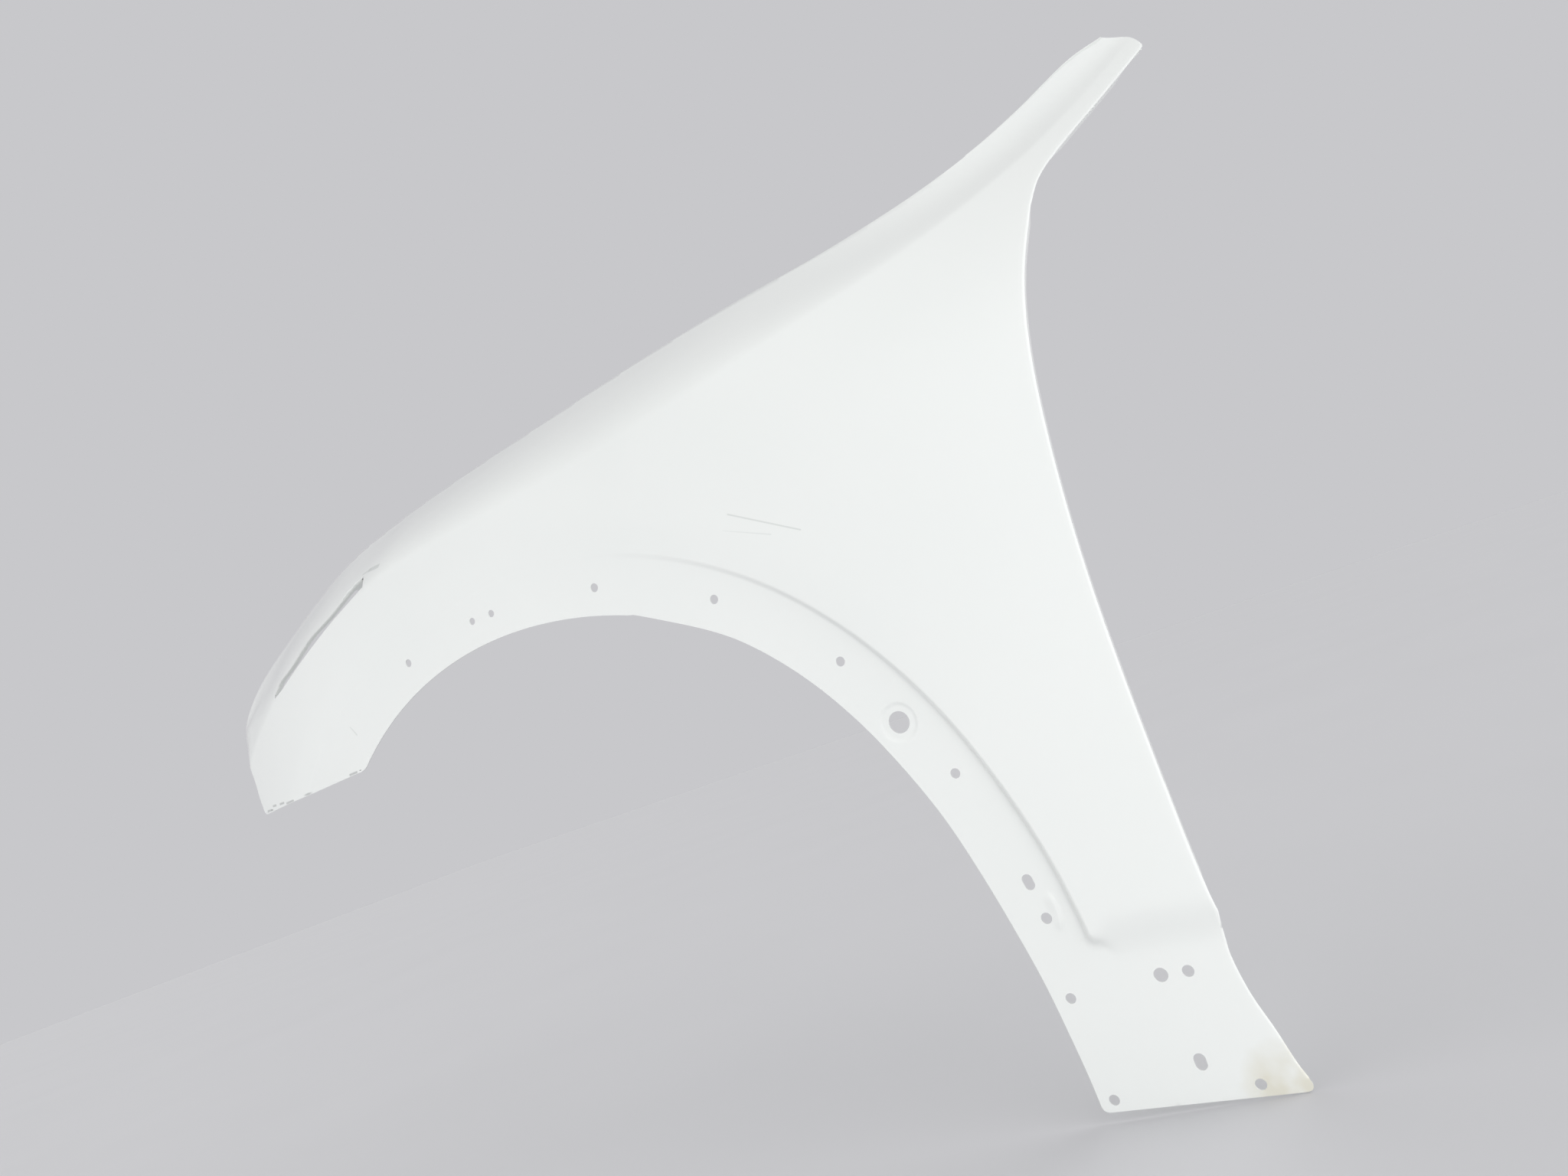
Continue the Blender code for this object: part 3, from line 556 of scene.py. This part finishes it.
WALL_BEND_OUT, WALL_BEND_IN, WALL_BEND_DOWN, FLANGE_BEND = 1.6, 1.0, 2.6, 2.4
TAPER, LOOK_BACK = 14.0, 2.0
BEND_STEPS = 6


def run_of(name, keep):
    """The vertices of one stretch of the edge, in order, that the test keeps."""
    return [v for v, n in zip(rim_run, loop_names) if n == name and keep(points[v])]


def add_strip(run, make_rows):
    """Adds a folded strip along a run of edge vertices and returns its last row."""
    rows = [list(run)]
    for layer in make_rows(np.array([points[v] for v in run])):
        rows.append([len(points) + k for k in range(len(run))])
        points.extend(layer)
    for a, b in zip(rows[:-1], rows[1:]):
        for k in range(len(run) - 1):
            faces.append((a[k + 1], a[k], b[k], b[k + 1]))
    return rows[-1]


def bend(start, corner, end, steps=BEND_STEPS):
    """Rows of a round bend from start to end, after the start."""
    t = np.linspace(0.0, 1.0, steps + 1)[1:]
    return [(1 - s) ** 2 * start + 2 * s * (1 - s) * corner + s ** 2 * end for s in t]


def face_heading(run_points):
    """Direction in which the face leaves the sheet at each edge point."""
    flat_run = run_points[:, [0, 2]]
    out = right_of(flat_run)
    slope = (run_points[:, 1] - skin(flat_run - out * LOOK_BACK)) / LOOK_BACK
    heading = np.column_stack([out[:, 0], slope, out[:, 1]])
    return heading / np.linalg.norm(heading, axis=1)[:, None]


def return_rows(direction, length):
    """Rows of a return that leaves the edge in a round bend and tapers out at its ends."""
    way = np.array(direction, float)
    way /= np.linalg.norm(way)

    def make(p):
        run = run_along(p)
        ends = smooth_step(np.minimum(run, run[-1] - run) / TAPER)
        long = (RETURN_END + (length - RETURN_END) * ends)[:, None]
        corner = p + face_heading(p) * RETURN_BEND
        rows = bend(p, corner, corner + way * RETURN_BEND)
        rows += [corner + way * (RETURN_BEND + (long - RETURN_BEND) * s) for s in (0.35, 0.7, 1.0)]
        return rows
    return make


def pad_level(x, z):
    """Level of the hood flange: it follows the hood line, and is flat at each pad."""
    for pad in PAD_X:
        k = int(np.argmin(np.abs(HOOD_CURVE[:, 0] - pad)))
        share = 1.0 - smooth_step((np.abs(x - pad) - PAD_FLAT) / PAD_BLEND)
        z = z + (HOOD_CURVE[k, 2] - HOOD_WALL - z) * share
    return z


def wall_rows(p):
    """Rows of the hood wall and of the bend into the flange."""
    level = pad_level(p[:, 0], p[:, 2] - HOOD_WALL)
    down = np.array([0.0, 0.0, -1.0])
    inboard = np.array([0.0, 1.0, 0.0])
    top = p + inboard * HOOD_IN + down * WALL_BEND_DOWN
    corner = np.column_stack([p[:, 0], p[:, 1] + HOOD_IN, level])
    foot = corner - down * FLANGE_BEND
    rows = bend(p, p + face_heading(p) * WALL_BEND_OUT + inboard * WALL_BEND_IN, top)
    rows += [top + (foot - top) * s for s in (0.25, 0.5, 0.75, 1.0)]
    return rows + bend(foot, corner, corner + inboard * FLANGE_BEND)


hood_run = run_of("hood", lambda p: HOOD_TO_X < p[0] < HOOD_FROM_X)
flange_start = add_strip(hood_run, wall_rows)
tail_run = run_of("hood", lambda p: p[0] > HOOD_FROM_X + RETURN_GAP)
lamp_run = run_of("hood", lambda p: p[0] < HOOD_TO_X - RETURN_GAP)
add_strip(tail_run, return_rows(TAIL_WAY, TAIL_RETURN))
add_strip(lamp_run, return_rows(LAMP_WAY, LAMP_RETURN))
print(len(points), "vertices with the folded strips")

# %% Straight returns behind the door edge and the tail, and the lip of the slit
STRAIGHT_END, STRAIGHT_WAY = 1.0, (-0.1, 1.0, 0.0)
SLIT_LIP, SLIT_BEND = 5.0, 0.6


def straight_rows(length):
    """Rows of a return behind an edge that the face has already rolled over."""
    def make(p):
        run = run_along(p)
        ends = smooth_step(np.minimum(run, run[-1] - run) / TAPER)
        long = (STRAIGHT_END + (length - EDGE_ROLL - STRAIGHT_END) * ends)[:, None]
        return [p + np.array(STRAIGHT_WAY) * long * s for s in (0.3, 0.65, 1.0)]
    return make


def lip_rows(p):
    """Rows of the short lip that is bent inboard along the slit's upper edge."""
    lip = np.array([0.0, 1.0, 0.1]) * SLIT_LIP
    return [p + np.array([0.0, 0.5, 0.12]) * SLIT_BEND, p + lip * 0.5, p + lip]


slit_start = ring_places[len(rim_points) - len(slit_upper):]
add_strip(slit_start[1:-1], lip_rows)
add_strip(run_of("door", lambda p: p[2] > DOOR_RETURN_FROM_Z), straight_rows(DOOR_RETURN))
add_strip(run_of("tail_lower", lambda p: TAIL_RETURN_FROM_X < p[0] < TAIL_RETURN_TO_X),
          straight_rows(TAIL_RETURN))
print("door return", DOOR_RETURN, "mm deep, slit lip", SLIT_LIP, "mm")

# %% [markdown]
# The flange with its four bolt slots is unrolled flat, with its length along the car and its width
# inboard. It is triangulated like the face, so the slots are true openings without any boolean, and
# then laid back at its level.

# %% Bolting flange
FLANGE_STEP = 4.0
FLANGE_GAP = 1.5
CORNER = 8.0
row = np.array([points[v] for v in flange_start])
row_x = row[::-1, 0]
width = HOOD_FLANGE - FLANGE_BEND
end_gap = np.minimum(row[:, 0] - row[:, 0].min(), row[:, 0].max() - row[:, 0])
short = np.clip(CORNER - end_gap, 0.0, CORNER)
outer = np.column_stack([row[:, 0], width - CORNER + np.sqrt(CORNER ** 2 - short ** 2)])
border = np.vstack([np.column_stack([row[:, 0], np.zeros(len(row))]), outer[::-1]])
slot_at = HOOD_FLANGE * PAD_SLOT_SHARE - FLANGE_BEND
slots = [oval((x, slot_at), PAD_SLOT_LENGTH, PAD_SLOT_WIDTH, 90.0) for x in PAD_X]
grid_x, grid_s = np.meshgrid(np.arange(row_x[0], row_x[-1], FLANGE_STEP),
                             np.arange(FLANGE_STEP, width, FLANGE_STEP))
inner = np.column_stack([grid_x.ravel(), grid_s.ravel()])
inner = inner[nearest(inner, np.vstack([border] + slots))[1] > FLANGE_GAP]
for slot in slots:
    inner = inner[~inside_loop(inner, slot)]
inner = inner[inside_loop(inner, border)]

verts, flange_faces, ring_places = triangulate([border] + slots, inner)
known = dict(zip(ring_places, flange_start))
number = {}
for k, (x, s) in enumerate(verts):
    if k in known:
        number[k] = known[k]
    else:
        number[k] = len(points)
        y, z = (np.interp(x, row_x, row[::-1, axis]) for axis in (1, 2))
        points.append(np.array([x, y + s, z]))
faces += [tuple(number[k] for k in f)[::-1] for f in flange_faces]
print(len(slots), "slots in a flange", round(float(row_x[-1] - row_x[0])), "mm long")

# %% [markdown]
# The face now gets its 0.8 mm of thickness. A Solidify modifier would do, but the three surfaces
# have three finishes: the glossy face, the thinly sprayed back and the cut edge. Building the back
# and the rim here keeps them apart, so each can have its own material.

# %% Sheet with its thickness
SHARP_ANGLE = 40.0
outer_points = (np.array(points) - SEAT) * MM
tri = np.array([(f[0], f[k], f[k + 1]) for f in faces for k in range(1, len(f) - 1)])
a, b, c = (outer_points[tri[:, k]] for k in range(3))
cross = np.cross(b - a, c - a)
normal = np.zeros_like(outer_points)
for k in range(3):
    np.add.at(normal, tri[:, k], cross)
normal /= np.linalg.norm(normal, axis=1)[:, None]
inner_points = outer_points - normal * SHEET * MM
count = len(outer_points)
once = {}
for f in faces:
    for p, q in zip(f, f[1:] + f[:1]):
        if (q, p) in once:
            del once[(q, p)]
        else:
            once[(p, q)] = True
back = [tuple(v + count for v in f)[::-1] for f in faces]
rim = [(q, p, p + count, q + count) for p, q in once]
mesh = bpy.data.meshes.new("fender_skin")
all_points = [tuple(p) for p in np.vstack([outer_points, inner_points])]
mesh.from_pydata(all_points, [], faces + back + rim)
mesh.update()
finish_number = [0] * len(faces) + [1] * len(back) + [2] * len(rim)
mesh.polygons.foreach_set("material_index", finish_number)
mesh.shade_smooth()
mesh.set_sharp_from_angle(angle=math.radians(SHARP_ANGLE))
fender = bpy.data.objects.new("fender_skin", mesh)
bpy.context.scene.collection.objects.link(fender)
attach(fender, "root")
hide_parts("fender_panel")
facing = float((cross * [0.0, -1.0, 0.0]).sum(axis=1)[:len(plan_faces)].mean())
print(len(mesh.polygons), "faces,", len(rim), "of them on cut edges")
print("the face looks outboard:", facing > 0)

# %% [markdown]
# Overspray on the back follows how far a point is from the trimmed edge. That distance is stored
# on the vertices once, so the back's material can read it anywhere on the sheet.

# %% Distance from the edge, for the finishes
edge_gap = np.full(count, 0.0)
edge_gap[:len(plan)] = nearest(plan, rim_dense)[1]
layer = mesh.attributes.new("edge_gap", "FLOAT", "POINT")
layer.data.foreach_set("value", np.concatenate([edge_gap, edge_gap]).astype(np.float32))
print("farthest point from any edge:", round(float(edge_gap.max())), "mm")

# %% [markdown]
# Colours are picked as they look on a screen, in sRGB hex, and Blender mixes light in linear
# values. One function turns the first into the second, and one adds a node with its settings and
# its links, which is all that the materials below need.

# %% Helpers for the finishes
def hex_colour(text):
    """Linear colour of an sRGB hex value."""
    parts = [int(text[k:k + 2], 16) / 255.0 for k in (1, 3, 5)]
    return (*[v / 12.92 if v <= 0.04045 else ((v + 0.055) / 1.055) ** 2.4 for v in parts], 1.0)


def add_node(tree, kind, inputs=None, **settings):
    """Adds a node with its settings; an input is a value or the socket that feeds it."""
    node = tree.nodes.new(kind)
    for name, value in settings.items():
        setattr(node, name, value)
    for name, value in (inputs or {}).items():
        if isinstance(value, bpy.types.NodeSocket):
            tree.links.new(value, node.inputs[name])
        else:
            node.inputs[name].default_value = value
    return node


def new_finish(name):
    """An empty material, and the node tree to build it in."""
    finish = bpy.data.materials.new(name)
    finish.use_nodes = True
    finish.node_tree.nodes.clear()
    return finish, finish.node_tree


print("white of the paint in linear values:", [round(v, 3) for v in hex_colour("#EAECEA")[:3]])

# %% [markdown]
# The face is white two-layer car paint: a solid white base coat under a glossy clear coat, sprayed
# on electrocoated steel. The eye gets a soft diffuse white with a faint green cast and a thin sharp
# reflection on top. Sprayed clear coat is never quite flat: its orange peel has waves 3 to 6 mm
# long and a micrometre or two high, which only shows as a slight wobble in the reflections. The
# base coat varies by about a hundredth over a hand's width. One shader with a coat layer gives all
# of it. Two mixed shaders could too, but they wouldn't dim the base under the coat.

# %% White two-layer paint
PAINT_WHITE, PAINT_SHADE = "#EAECEA", "#E6E9E7"
CLOUD_SCALE = 7.0
PEEL_LENGTH, PEEL_HEIGHT = 0.005, 0.0000025

paint, tree = new_finish("White two-layer car paint")
space = add_node(tree, "ShaderNodeTexCoord").outputs["Object"]
clouds = add_node(tree, "ShaderNodeTexNoise", {
    "Vector": space, "Scale": CLOUD_SCALE, "Detail": 2.0}).outputs[0]
base = add_node(tree, "ShaderNodeMix", {
    0: clouds, 6: hex_colour(PAINT_WHITE), 7: hex_colour(PAINT_SHADE)}, data_type="RGBA").outputs[2]
peel = add_node(tree, "ShaderNodeTexNoise", {
    "Vector": space, "Scale": 1.0 / PEEL_LENGTH, "Detail": 1.0}).outputs[0]
peel_bump = add_node(tree, "ShaderNodeBump", {
    "Height": peel, "Distance": PEEL_HEIGHT, "Strength": 1.0}).outputs[0]
print("orange peel waves", PEEL_LENGTH * 1000, "mm long")

# %% [markdown]
# A dismantled wing has been handled and leaned on its edges. The nose edge is chipped down to the
# grey electrocoat, with a few longer knocks, and the face has a few faint scratches. The foot's
# rear corner has a yellow stain, painted darker too as shade near the floor. By the slit's rear
# end, two grey streaks are a painted shadow, as of a small dent. Each mark sits along a short
# straight line on the sheet, so one function gives the closeness to such a line, and a noise
# breaks the edges of the chips and of the stain with its painted shade. A painted mask would be
# the other way, but it has a fixed fineness and needs an unwrapped sheet.

# %% Closeness to a line on the sheet
def closeness(tree, space, start, end, core, fade):
    """1 within core millimetres of a line on the sheet, and 0 beyond core + fade."""
    start = (Vector(start) - Vector(SEAT)) * MM
    way = (Vector(end) - Vector(SEAT)) * MM - start
    from_start = add_node(tree, "ShaderNodeVectorMath", {
        0: space, 1: start}, operation="SUBTRACT").outputs[0]
    share = add_node(tree, "ShaderNodeVectorMath", {
        0: from_start, 1: way / way.length_squared}, operation="DOT_PRODUCT").outputs["Value"]
    held = add_node(tree, "ShaderNodeClamp", {"Value": share}).outputs[0]
    foot = add_node(tree, "ShaderNodeVectorMath", {
        0: way, "Scale": held}, operation="SCALE").outputs[0]
    gap = add_node(tree, "ShaderNodeVectorMath", {
        0: from_start, 1: foot}, operation="DISTANCE").outputs["Value"]
    return add_node(tree, "ShaderNodeMapRange", {
        "Value": gap, "From Min": core * MM, "From Max": (core + fade) * MM,
        "To Min": 1.0, "To Max": 0.0}, interpolation_type="SMOOTHSTEP").outputs[0]


# The stain's colour also paints shade near the floor, and the scratch colour also paints the shadow
# streaks by the slit
CHIP_COLOUR, STAIN_AND_SHADE_COLOUR, SCRATCH_AND_SHADOW_COLOUR = "#8A8C8B", "#D9D7CA", "#BFC4C1"
CHIP_LENGTH, CHIP_STRETCH, STAIN_AND_SHADE_SCALE = 0.012, 0.35, 60.0
stretched = add_node(tree, "ShaderNodeMapping", {
    "Vector": space, "Scale": (CHIP_STRETCH, 1.0, 1.0)}).outputs[0]
grains = add_node(tree, "ShaderNodeTexNoise", {
    "Vector": stretched, "Scale": 3.0 / CHIP_LENGTH, "Detail": 4.0, "Roughness": 0.7}).outputs[0]
soft_grains = add_node(tree, "ShaderNodeTexNoise", {
    "Vector": space, "Scale": STAIN_AND_SHADE_SCALE, "Detail": 2.0}).outputs[0]
# Ends, core and fade in millimetres, the noise, the level where it starts and its softness
patches = []
for start, end, core, fade, noise, level, soft in (
        ((-770, 75, 392.5), (-572, 30, 391.0), 0.4, 5.0, grains, 0.50, 0.06),
        # The second patch is the foot's yellow stain, painted darker too as shade near the floor
        ((124, 5, -4), (112, 5, -6.5), 3.0, 40.0, soft_grains, 0.10, 0.42)):
    near = closeness(tree, space, start, end, core, fade)
    broken = add_node(tree, "ShaderNodeMath", {0: near, 1: noise}, operation="MULTIPLY").outputs[0]
    patches.append(add_node(tree, "ShaderNodeMapRange", {
        "Value": broken, "From Min": level, "From Max": level + soft}).outputs[0])
chips, stain_and_shade = patches
print("chips about", CHIP_LENGTH * 1000, "mm long")

# %% [markdown]
# The marks lie on the paint in layers: the stain with its painted shade first, then the scratches,
# the painted shadow by the slit and the knocks, and the chips on top. Where a chip has gone
# through, the clear coat is gone too, so the shader loses its coat and turns rough there. The eye
# then gets a dull grey fleck in the gloss.

# %% Marks on the face, and its shader
# Ends, core and fade in millimetres, strength and colour
marks = [((-116, 1.8, 456.6), (-65, 0.7, 424.5), 0.2, 0.7, 0.5, SCRATCH_AND_SHADOW_COLOUR),
         ((-124, 1.8, 447), (-88, 1, 430), 0.2, 0.6, 0.3, SCRATCH_AND_SHADOW_COLOUR),
         ((-570, 29.2, 430.5), (-564, 27.9, 421.5), 0.3, 0.9, 0.45, SCRATCH_AND_SHADOW_COLOUR),
         # These two streaks by the slit's rear end are a painted shadow, as of a small dent
         ((-505, 33.1, 555.4), (-489, 29, 554.2), 0.6, 1.6, 0.6, SCRATCH_AND_SHADOW_COLOUR),
         ((-492, 29, 555.0), (-474, 23, 552.0), 1.2, 2.4, 0.75, SCRATCH_AND_SHADOW_COLOUR)]
knocks = [((-593, 33.2, 390.6), (-581, 30.6, 390.4)), ((-681, 48.8, 391.2), (-661, 48.9, 391.0)),
          ((-716, 58.3, 391.8), (-701, 54.1, 391.6)), ((-731, 63, 394.2), (-722, 60, 393.8)),
          ((-764, 73.6, 393.4), (-755, 70.0, 393.0)), ((-748, 68.2, 395.6), (-741, 66.0, 395.2))]
marks += [(start, end, 0.2, 1.6, 0.6, CHIP_COLOUR) for start, end in knocks]
marks.append(((109.0, 5.5, 96), (110.6, 5.5, 104), 0.4, 1.6, 0.6, CHIP_COLOUR))
layers = [(stain_and_shade, STAIN_AND_SHADE_COLOUR)]
for start, end, core, fade, strength, tint in marks:
    near = closeness(tree, space, start, end, core, fade)
    part = add_node(tree, "ShaderNodeMath", {0: near, 1: strength}, operation="MULTIPLY").outputs[0]
    layers.append((part, tint))
layers.append((chips, CHIP_COLOUR))
colour = base
for part, tint in layers:
    colour = add_node(tree, "ShaderNodeMix", {
        0: part, 6: colour, 7: hex_colour(tint)}, data_type="RGBA").outputs[2]
rough = add_node(tree, "ShaderNodeMapRange", {
    "Value": chips, "To Min": 0.32, "To Max": 0.7}).outputs[0]
coat = add_node(tree, "ShaderNodeMapRange", {
    "Value": chips, "To Min": 1.0, "To Max": 0.0}).outputs[0]
shader = add_node(tree, "ShaderNodeBsdfPrincipled", {
    "Base Color": colour, "Roughness": rough, "IOR": 1.5, "Coat Weight": coat,
    "Coat Roughness": 0.05, "Coat IOR": 1.5, "Normal": peel_bump, "Coat Normal": peel_bump})
add_node(tree, "ShaderNodeOutputMaterial", {"Surface": shader.outputs[0]})
mesh.materials.append(paint)
print(len(layers), "layers of wear on the face")

# %% [markdown]
# The back of such a panel is never sprayed on purpose. It has the grey electrocoat that the whole
# body is dipped in, and white overspray that reaches round every edge and thins out towards the
# middle. The eye gets a duller and rougher surface, with a fine dry grain. The stored distance
# drives it, because a shader can't find a trimmed edge by itself.

# %% Overspray on electrocoat, for the back
OVERSPRAY, ELECTROCOAT = "#E2E5E2", "#B4B9BA"
SPRAY_FROM, SPRAY_TO = 8.0, 75.0
SPRAY_CLOUDS, SPRAY_GAIN = 9.0, 1.3
GRAIN, GRAIN_HEIGHT = 0.0015, 0.00002

spray, tree = new_finish("White overspray on grey electrocoat")
space = add_node(tree, "ShaderNodeTexCoord").outputs["Object"]
edge = add_node(tree, "ShaderNodeAttribute", attribute_name="edge_gap").outputs["Fac"]
clouds = add_node(tree, "ShaderNodeTexNoise", {
    "Vector": space, "Scale": SPRAY_CLOUDS, "Detail": 3.0}).outputs[0]
reach = add_node(tree, "ShaderNodeMapRange", {
    "Value": edge, "From Min": SPRAY_FROM, "From Max": SPRAY_TO}).outputs[0]
gained = add_node(tree, "ShaderNodeMath", {
    0: clouds, 1: SPRAY_GAIN}, operation="MULTIPLY").outputs[0]
thin = add_node(tree, "ShaderNodeMath", {
    0: reach, 1: gained}, operation="MULTIPLY", use_clamp=True).outputs[0]
grain = add_node(tree, "ShaderNodeTexNoise", {
    "Vector": space, "Scale": 1.0 / GRAIN, "Detail": 2.0}).outputs[0]
grain_bump = add_node(tree, "ShaderNodeBump", {
    "Height": grain, "Distance": GRAIN_HEIGHT, "Strength": 0.6}).outputs[0]
film = add_node(tree, "ShaderNodeMix", {
    0: thin, 6: hex_colour(OVERSPRAY), 7: hex_colour(ELECTROCOAT)}, data_type="RGBA").outputs[2]
rough = add_node(tree, "ShaderNodeMapRange", {
    "Value": thin, "To Min": 0.45, "To Max": 0.62}).outputs[0]
shader = add_node(tree, "ShaderNodeBsdfPrincipled", {
    "Base Color": film, "Roughness": rough, "IOR": 1.5, "Normal": grain_bump})
add_node(tree, "ShaderNodeOutputMaterial", {"Surface": shader.outputs[0]})
mesh.materials.append(spray)
print("overspray grain", GRAIN * 1000, "mm")

# %% [markdown]
# Paint pulls back from a sheared edge, so the 0.8 mm rim and the walls of the holes carry a
# thinner, uneven film that lets a little grey through. It draws the fine pale ring round each hole.

# %% Thin film on the cut edge
FILM_PALE, FILM_THIN = "#E2E4E1", "#C2C5C3"
FILM_SCALE = 260.0

cut_edge, tree = new_finish("Thin paint on sheared steel edge")
space = add_node(tree, "ShaderNodeTexCoord").outputs["Object"]
film = add_node(tree, "ShaderNodeTexNoise", {
    "Vector": space, "Scale": FILM_SCALE, "Detail": 3.0}).outputs[0]
tone = add_node(tree, "ShaderNodeMix", {
    0: film, 6: hex_colour(FILM_PALE), 7: hex_colour(FILM_THIN)}, data_type="RGBA").outputs[2]
shader = add_node(tree, "ShaderNodeBsdfPrincipled", {
    "Base Color": tone, "Roughness": 0.5, "IOR": 1.5})
add_node(tree, "ShaderNodeOutputMaterial", {"Surface": shader.outputs[0]})
mesh.materials.append(cut_edge)
print([m.name for m in mesh.materials])

# %% [markdown]
# The wing stands free over a plain pale floor, which takes its shadow. The floor's and the
# backdrop's paleness is their own colour, so no extra light is needed to make them pale. The floor
# is matt and a little darker than the paint, so the eye finds the wing's outline against it.

# %% Floor
FLOOR_COLOUR, FLOOR_SHADE = "#D4D4D7", "#D1D1D4"
FLOOR_HALF, FLOOR_GAP = 12.0, 0.0005
floor_level = DRAWN_BOX[0][2] - FLOOR_GAP
floor_mesh = bpy.data.meshes.new("floor")
corners = [(-1, -1), (1, -1), (1, 1), (-1, 1)]
floor_mesh.from_pydata([(x * FLOOR_HALF, y * FLOOR_HALF, floor_level) for x, y in corners],
                       [], [(0, 1, 2, 3)])
floor = bpy.data.objects.new("floor", floor_mesh)
bpy.context.scene.collection.objects.link(floor)
matt, tree = new_finish("Pale matt floor")
space = add_node(tree, "ShaderNodeTexCoord").outputs["Object"]
grain = add_node(tree, "ShaderNodeTexNoise", {
    "Vector": space, "Scale": 3.0, "Detail": 2.0}).outputs[0]
tone = add_node(tree, "ShaderNodeMix", {
    0: grain, 6: hex_colour(FLOOR_COLOUR), 7: hex_colour(FLOOR_SHADE)}, data_type="RGBA").outputs[2]
shader = add_node(tree, "ShaderNodeBsdfPrincipled", {"Base Color": tone, "Roughness": 0.7})
add_node(tree, "ShaderNodeOutputMaterial", {"Surface": shader.outputs[0]})
floor_mesh.materials.append(matt)
print("floor at", round(floor_level * 1000, 1), "mm")

# %% [markdown]
# White paint shows its form only by slow changes of tone, so the light is soft and comes from the
# sides. The world lights along the car from both ends, more from the door's, and a little from
# above. The camera sees a plain pale backdrop in its place, and so do mirror rays. A surrounding
# photograph of a room would light it too, but its windows would show in the clear coat.

# %% World
BACKDROP, WHITE = "#C8C8CB", "#FFFFFF"
NOSE_SIDE, DOOR_SIDE, FROM_ABOVE = 1.15, 1.7, 0.45
world = bpy.data.worlds.new("soft studio")
world.use_nodes = True
bpy.context.scene.world = world
tree = world.node_tree
tree.nodes.clear()
heading = add_node(tree, "ShaderNodeTexCoord").outputs["Generated"]
axes = add_node(tree, "ShaderNodeSeparateXYZ", {0: heading}).outputs
level = 0.0
for axis, end, strength in (("X", -1.0, NOSE_SIDE), ("X", 1.0, DOOR_SIDE), ("Z", 1.0, FROM_ABOVE)):
    side = add_node(tree, "ShaderNodeMapRange", {
        "Value": axes[axis], "From Min": 0.0, "From Max": end,
        "To Min": 0.0, "To Max": strength}).outputs[0]
    level = add_node(tree, "ShaderNodeMath", {0: side, 1: level}, operation="ADD").outputs[0]
fill = add_node(tree, "ShaderNodeBackground", {"Color": hex_colour(WHITE), "Strength": level})
seen = add_node(tree, "ShaderNodeBackground", {"Color": hex_colour(BACKDROP), "Strength": 1.0})
ray = add_node(tree, "ShaderNodeLightPath").outputs
shown = ray["Is Camera Ray"]
for kind in ("Is Glossy Ray", "Is Transmission Ray"):
    shown = add_node(tree, "ShaderNodeMath", {
        0: shown, 1: ray[kind]}, operation="MAXIMUM").outputs[0]
both = add_node(tree, "ShaderNodeMixShader", {0: shown, 1: fill.outputs[0], 2: seen.outputs[0]})
add_node(tree, "ShaderNodeOutputWorld", {"Surface": both.outputs[0]})
print("light from the nose's side, the door's side and above:", NOSE_SIDE, DOOR_SIDE, FROM_ABOVE)

# %% [markdown]
# Four square lamps lift the foot, the door edge and the nose, as windows near the wing would. They
# light the wing alone, so the floor gets no bright spot, and the clear coat shows no image of them.

# %% Lamps
# Place and target in metres, side in metres, power in watts
lamps = [("low_lamp", (1.0, -1.2, 0.3), (0.0, 0.0, 0.1), 0.6, 4.6),
         ("door_lamp", (0.62, -0.55, 0.3), (0.05, 0.0, 0.2), 0.5, 1.8),
         ("nose_lamp", (-1.25, -1.1, 0.25), (-0.75, 0.0, 0.4), 0.6, 4.2),
         ("cheek_lamp", (-0.8, -0.7, 0.3), (-0.62, 0.0, 0.42), 0.45, 0.6)]
lit = bpy.data.collections.new("lit by the lamps")
lit.objects.link(fender)
for name, place, target, size, watts in lamps:
    data = bpy.data.lights.new(name, "AREA")
    data.size = size
    data.energy = watts
    lamp = bpy.data.objects.new(name, data)
    bpy.context.scene.collection.objects.link(lamp)
    lamp.visible_camera = False
    lamp.visible_glossy = False
    lamp.light_linking.receiver_collection = lit
    lamp.location = place
    lamp.rotation_euler = (Vector(target) - Vector(place)).to_track_quat("-Z", "Y").to_euler()
bpy.context.scene.view_settings.view_transform = "Standard"
print("lamps:", [name for name, *_ in lamps])
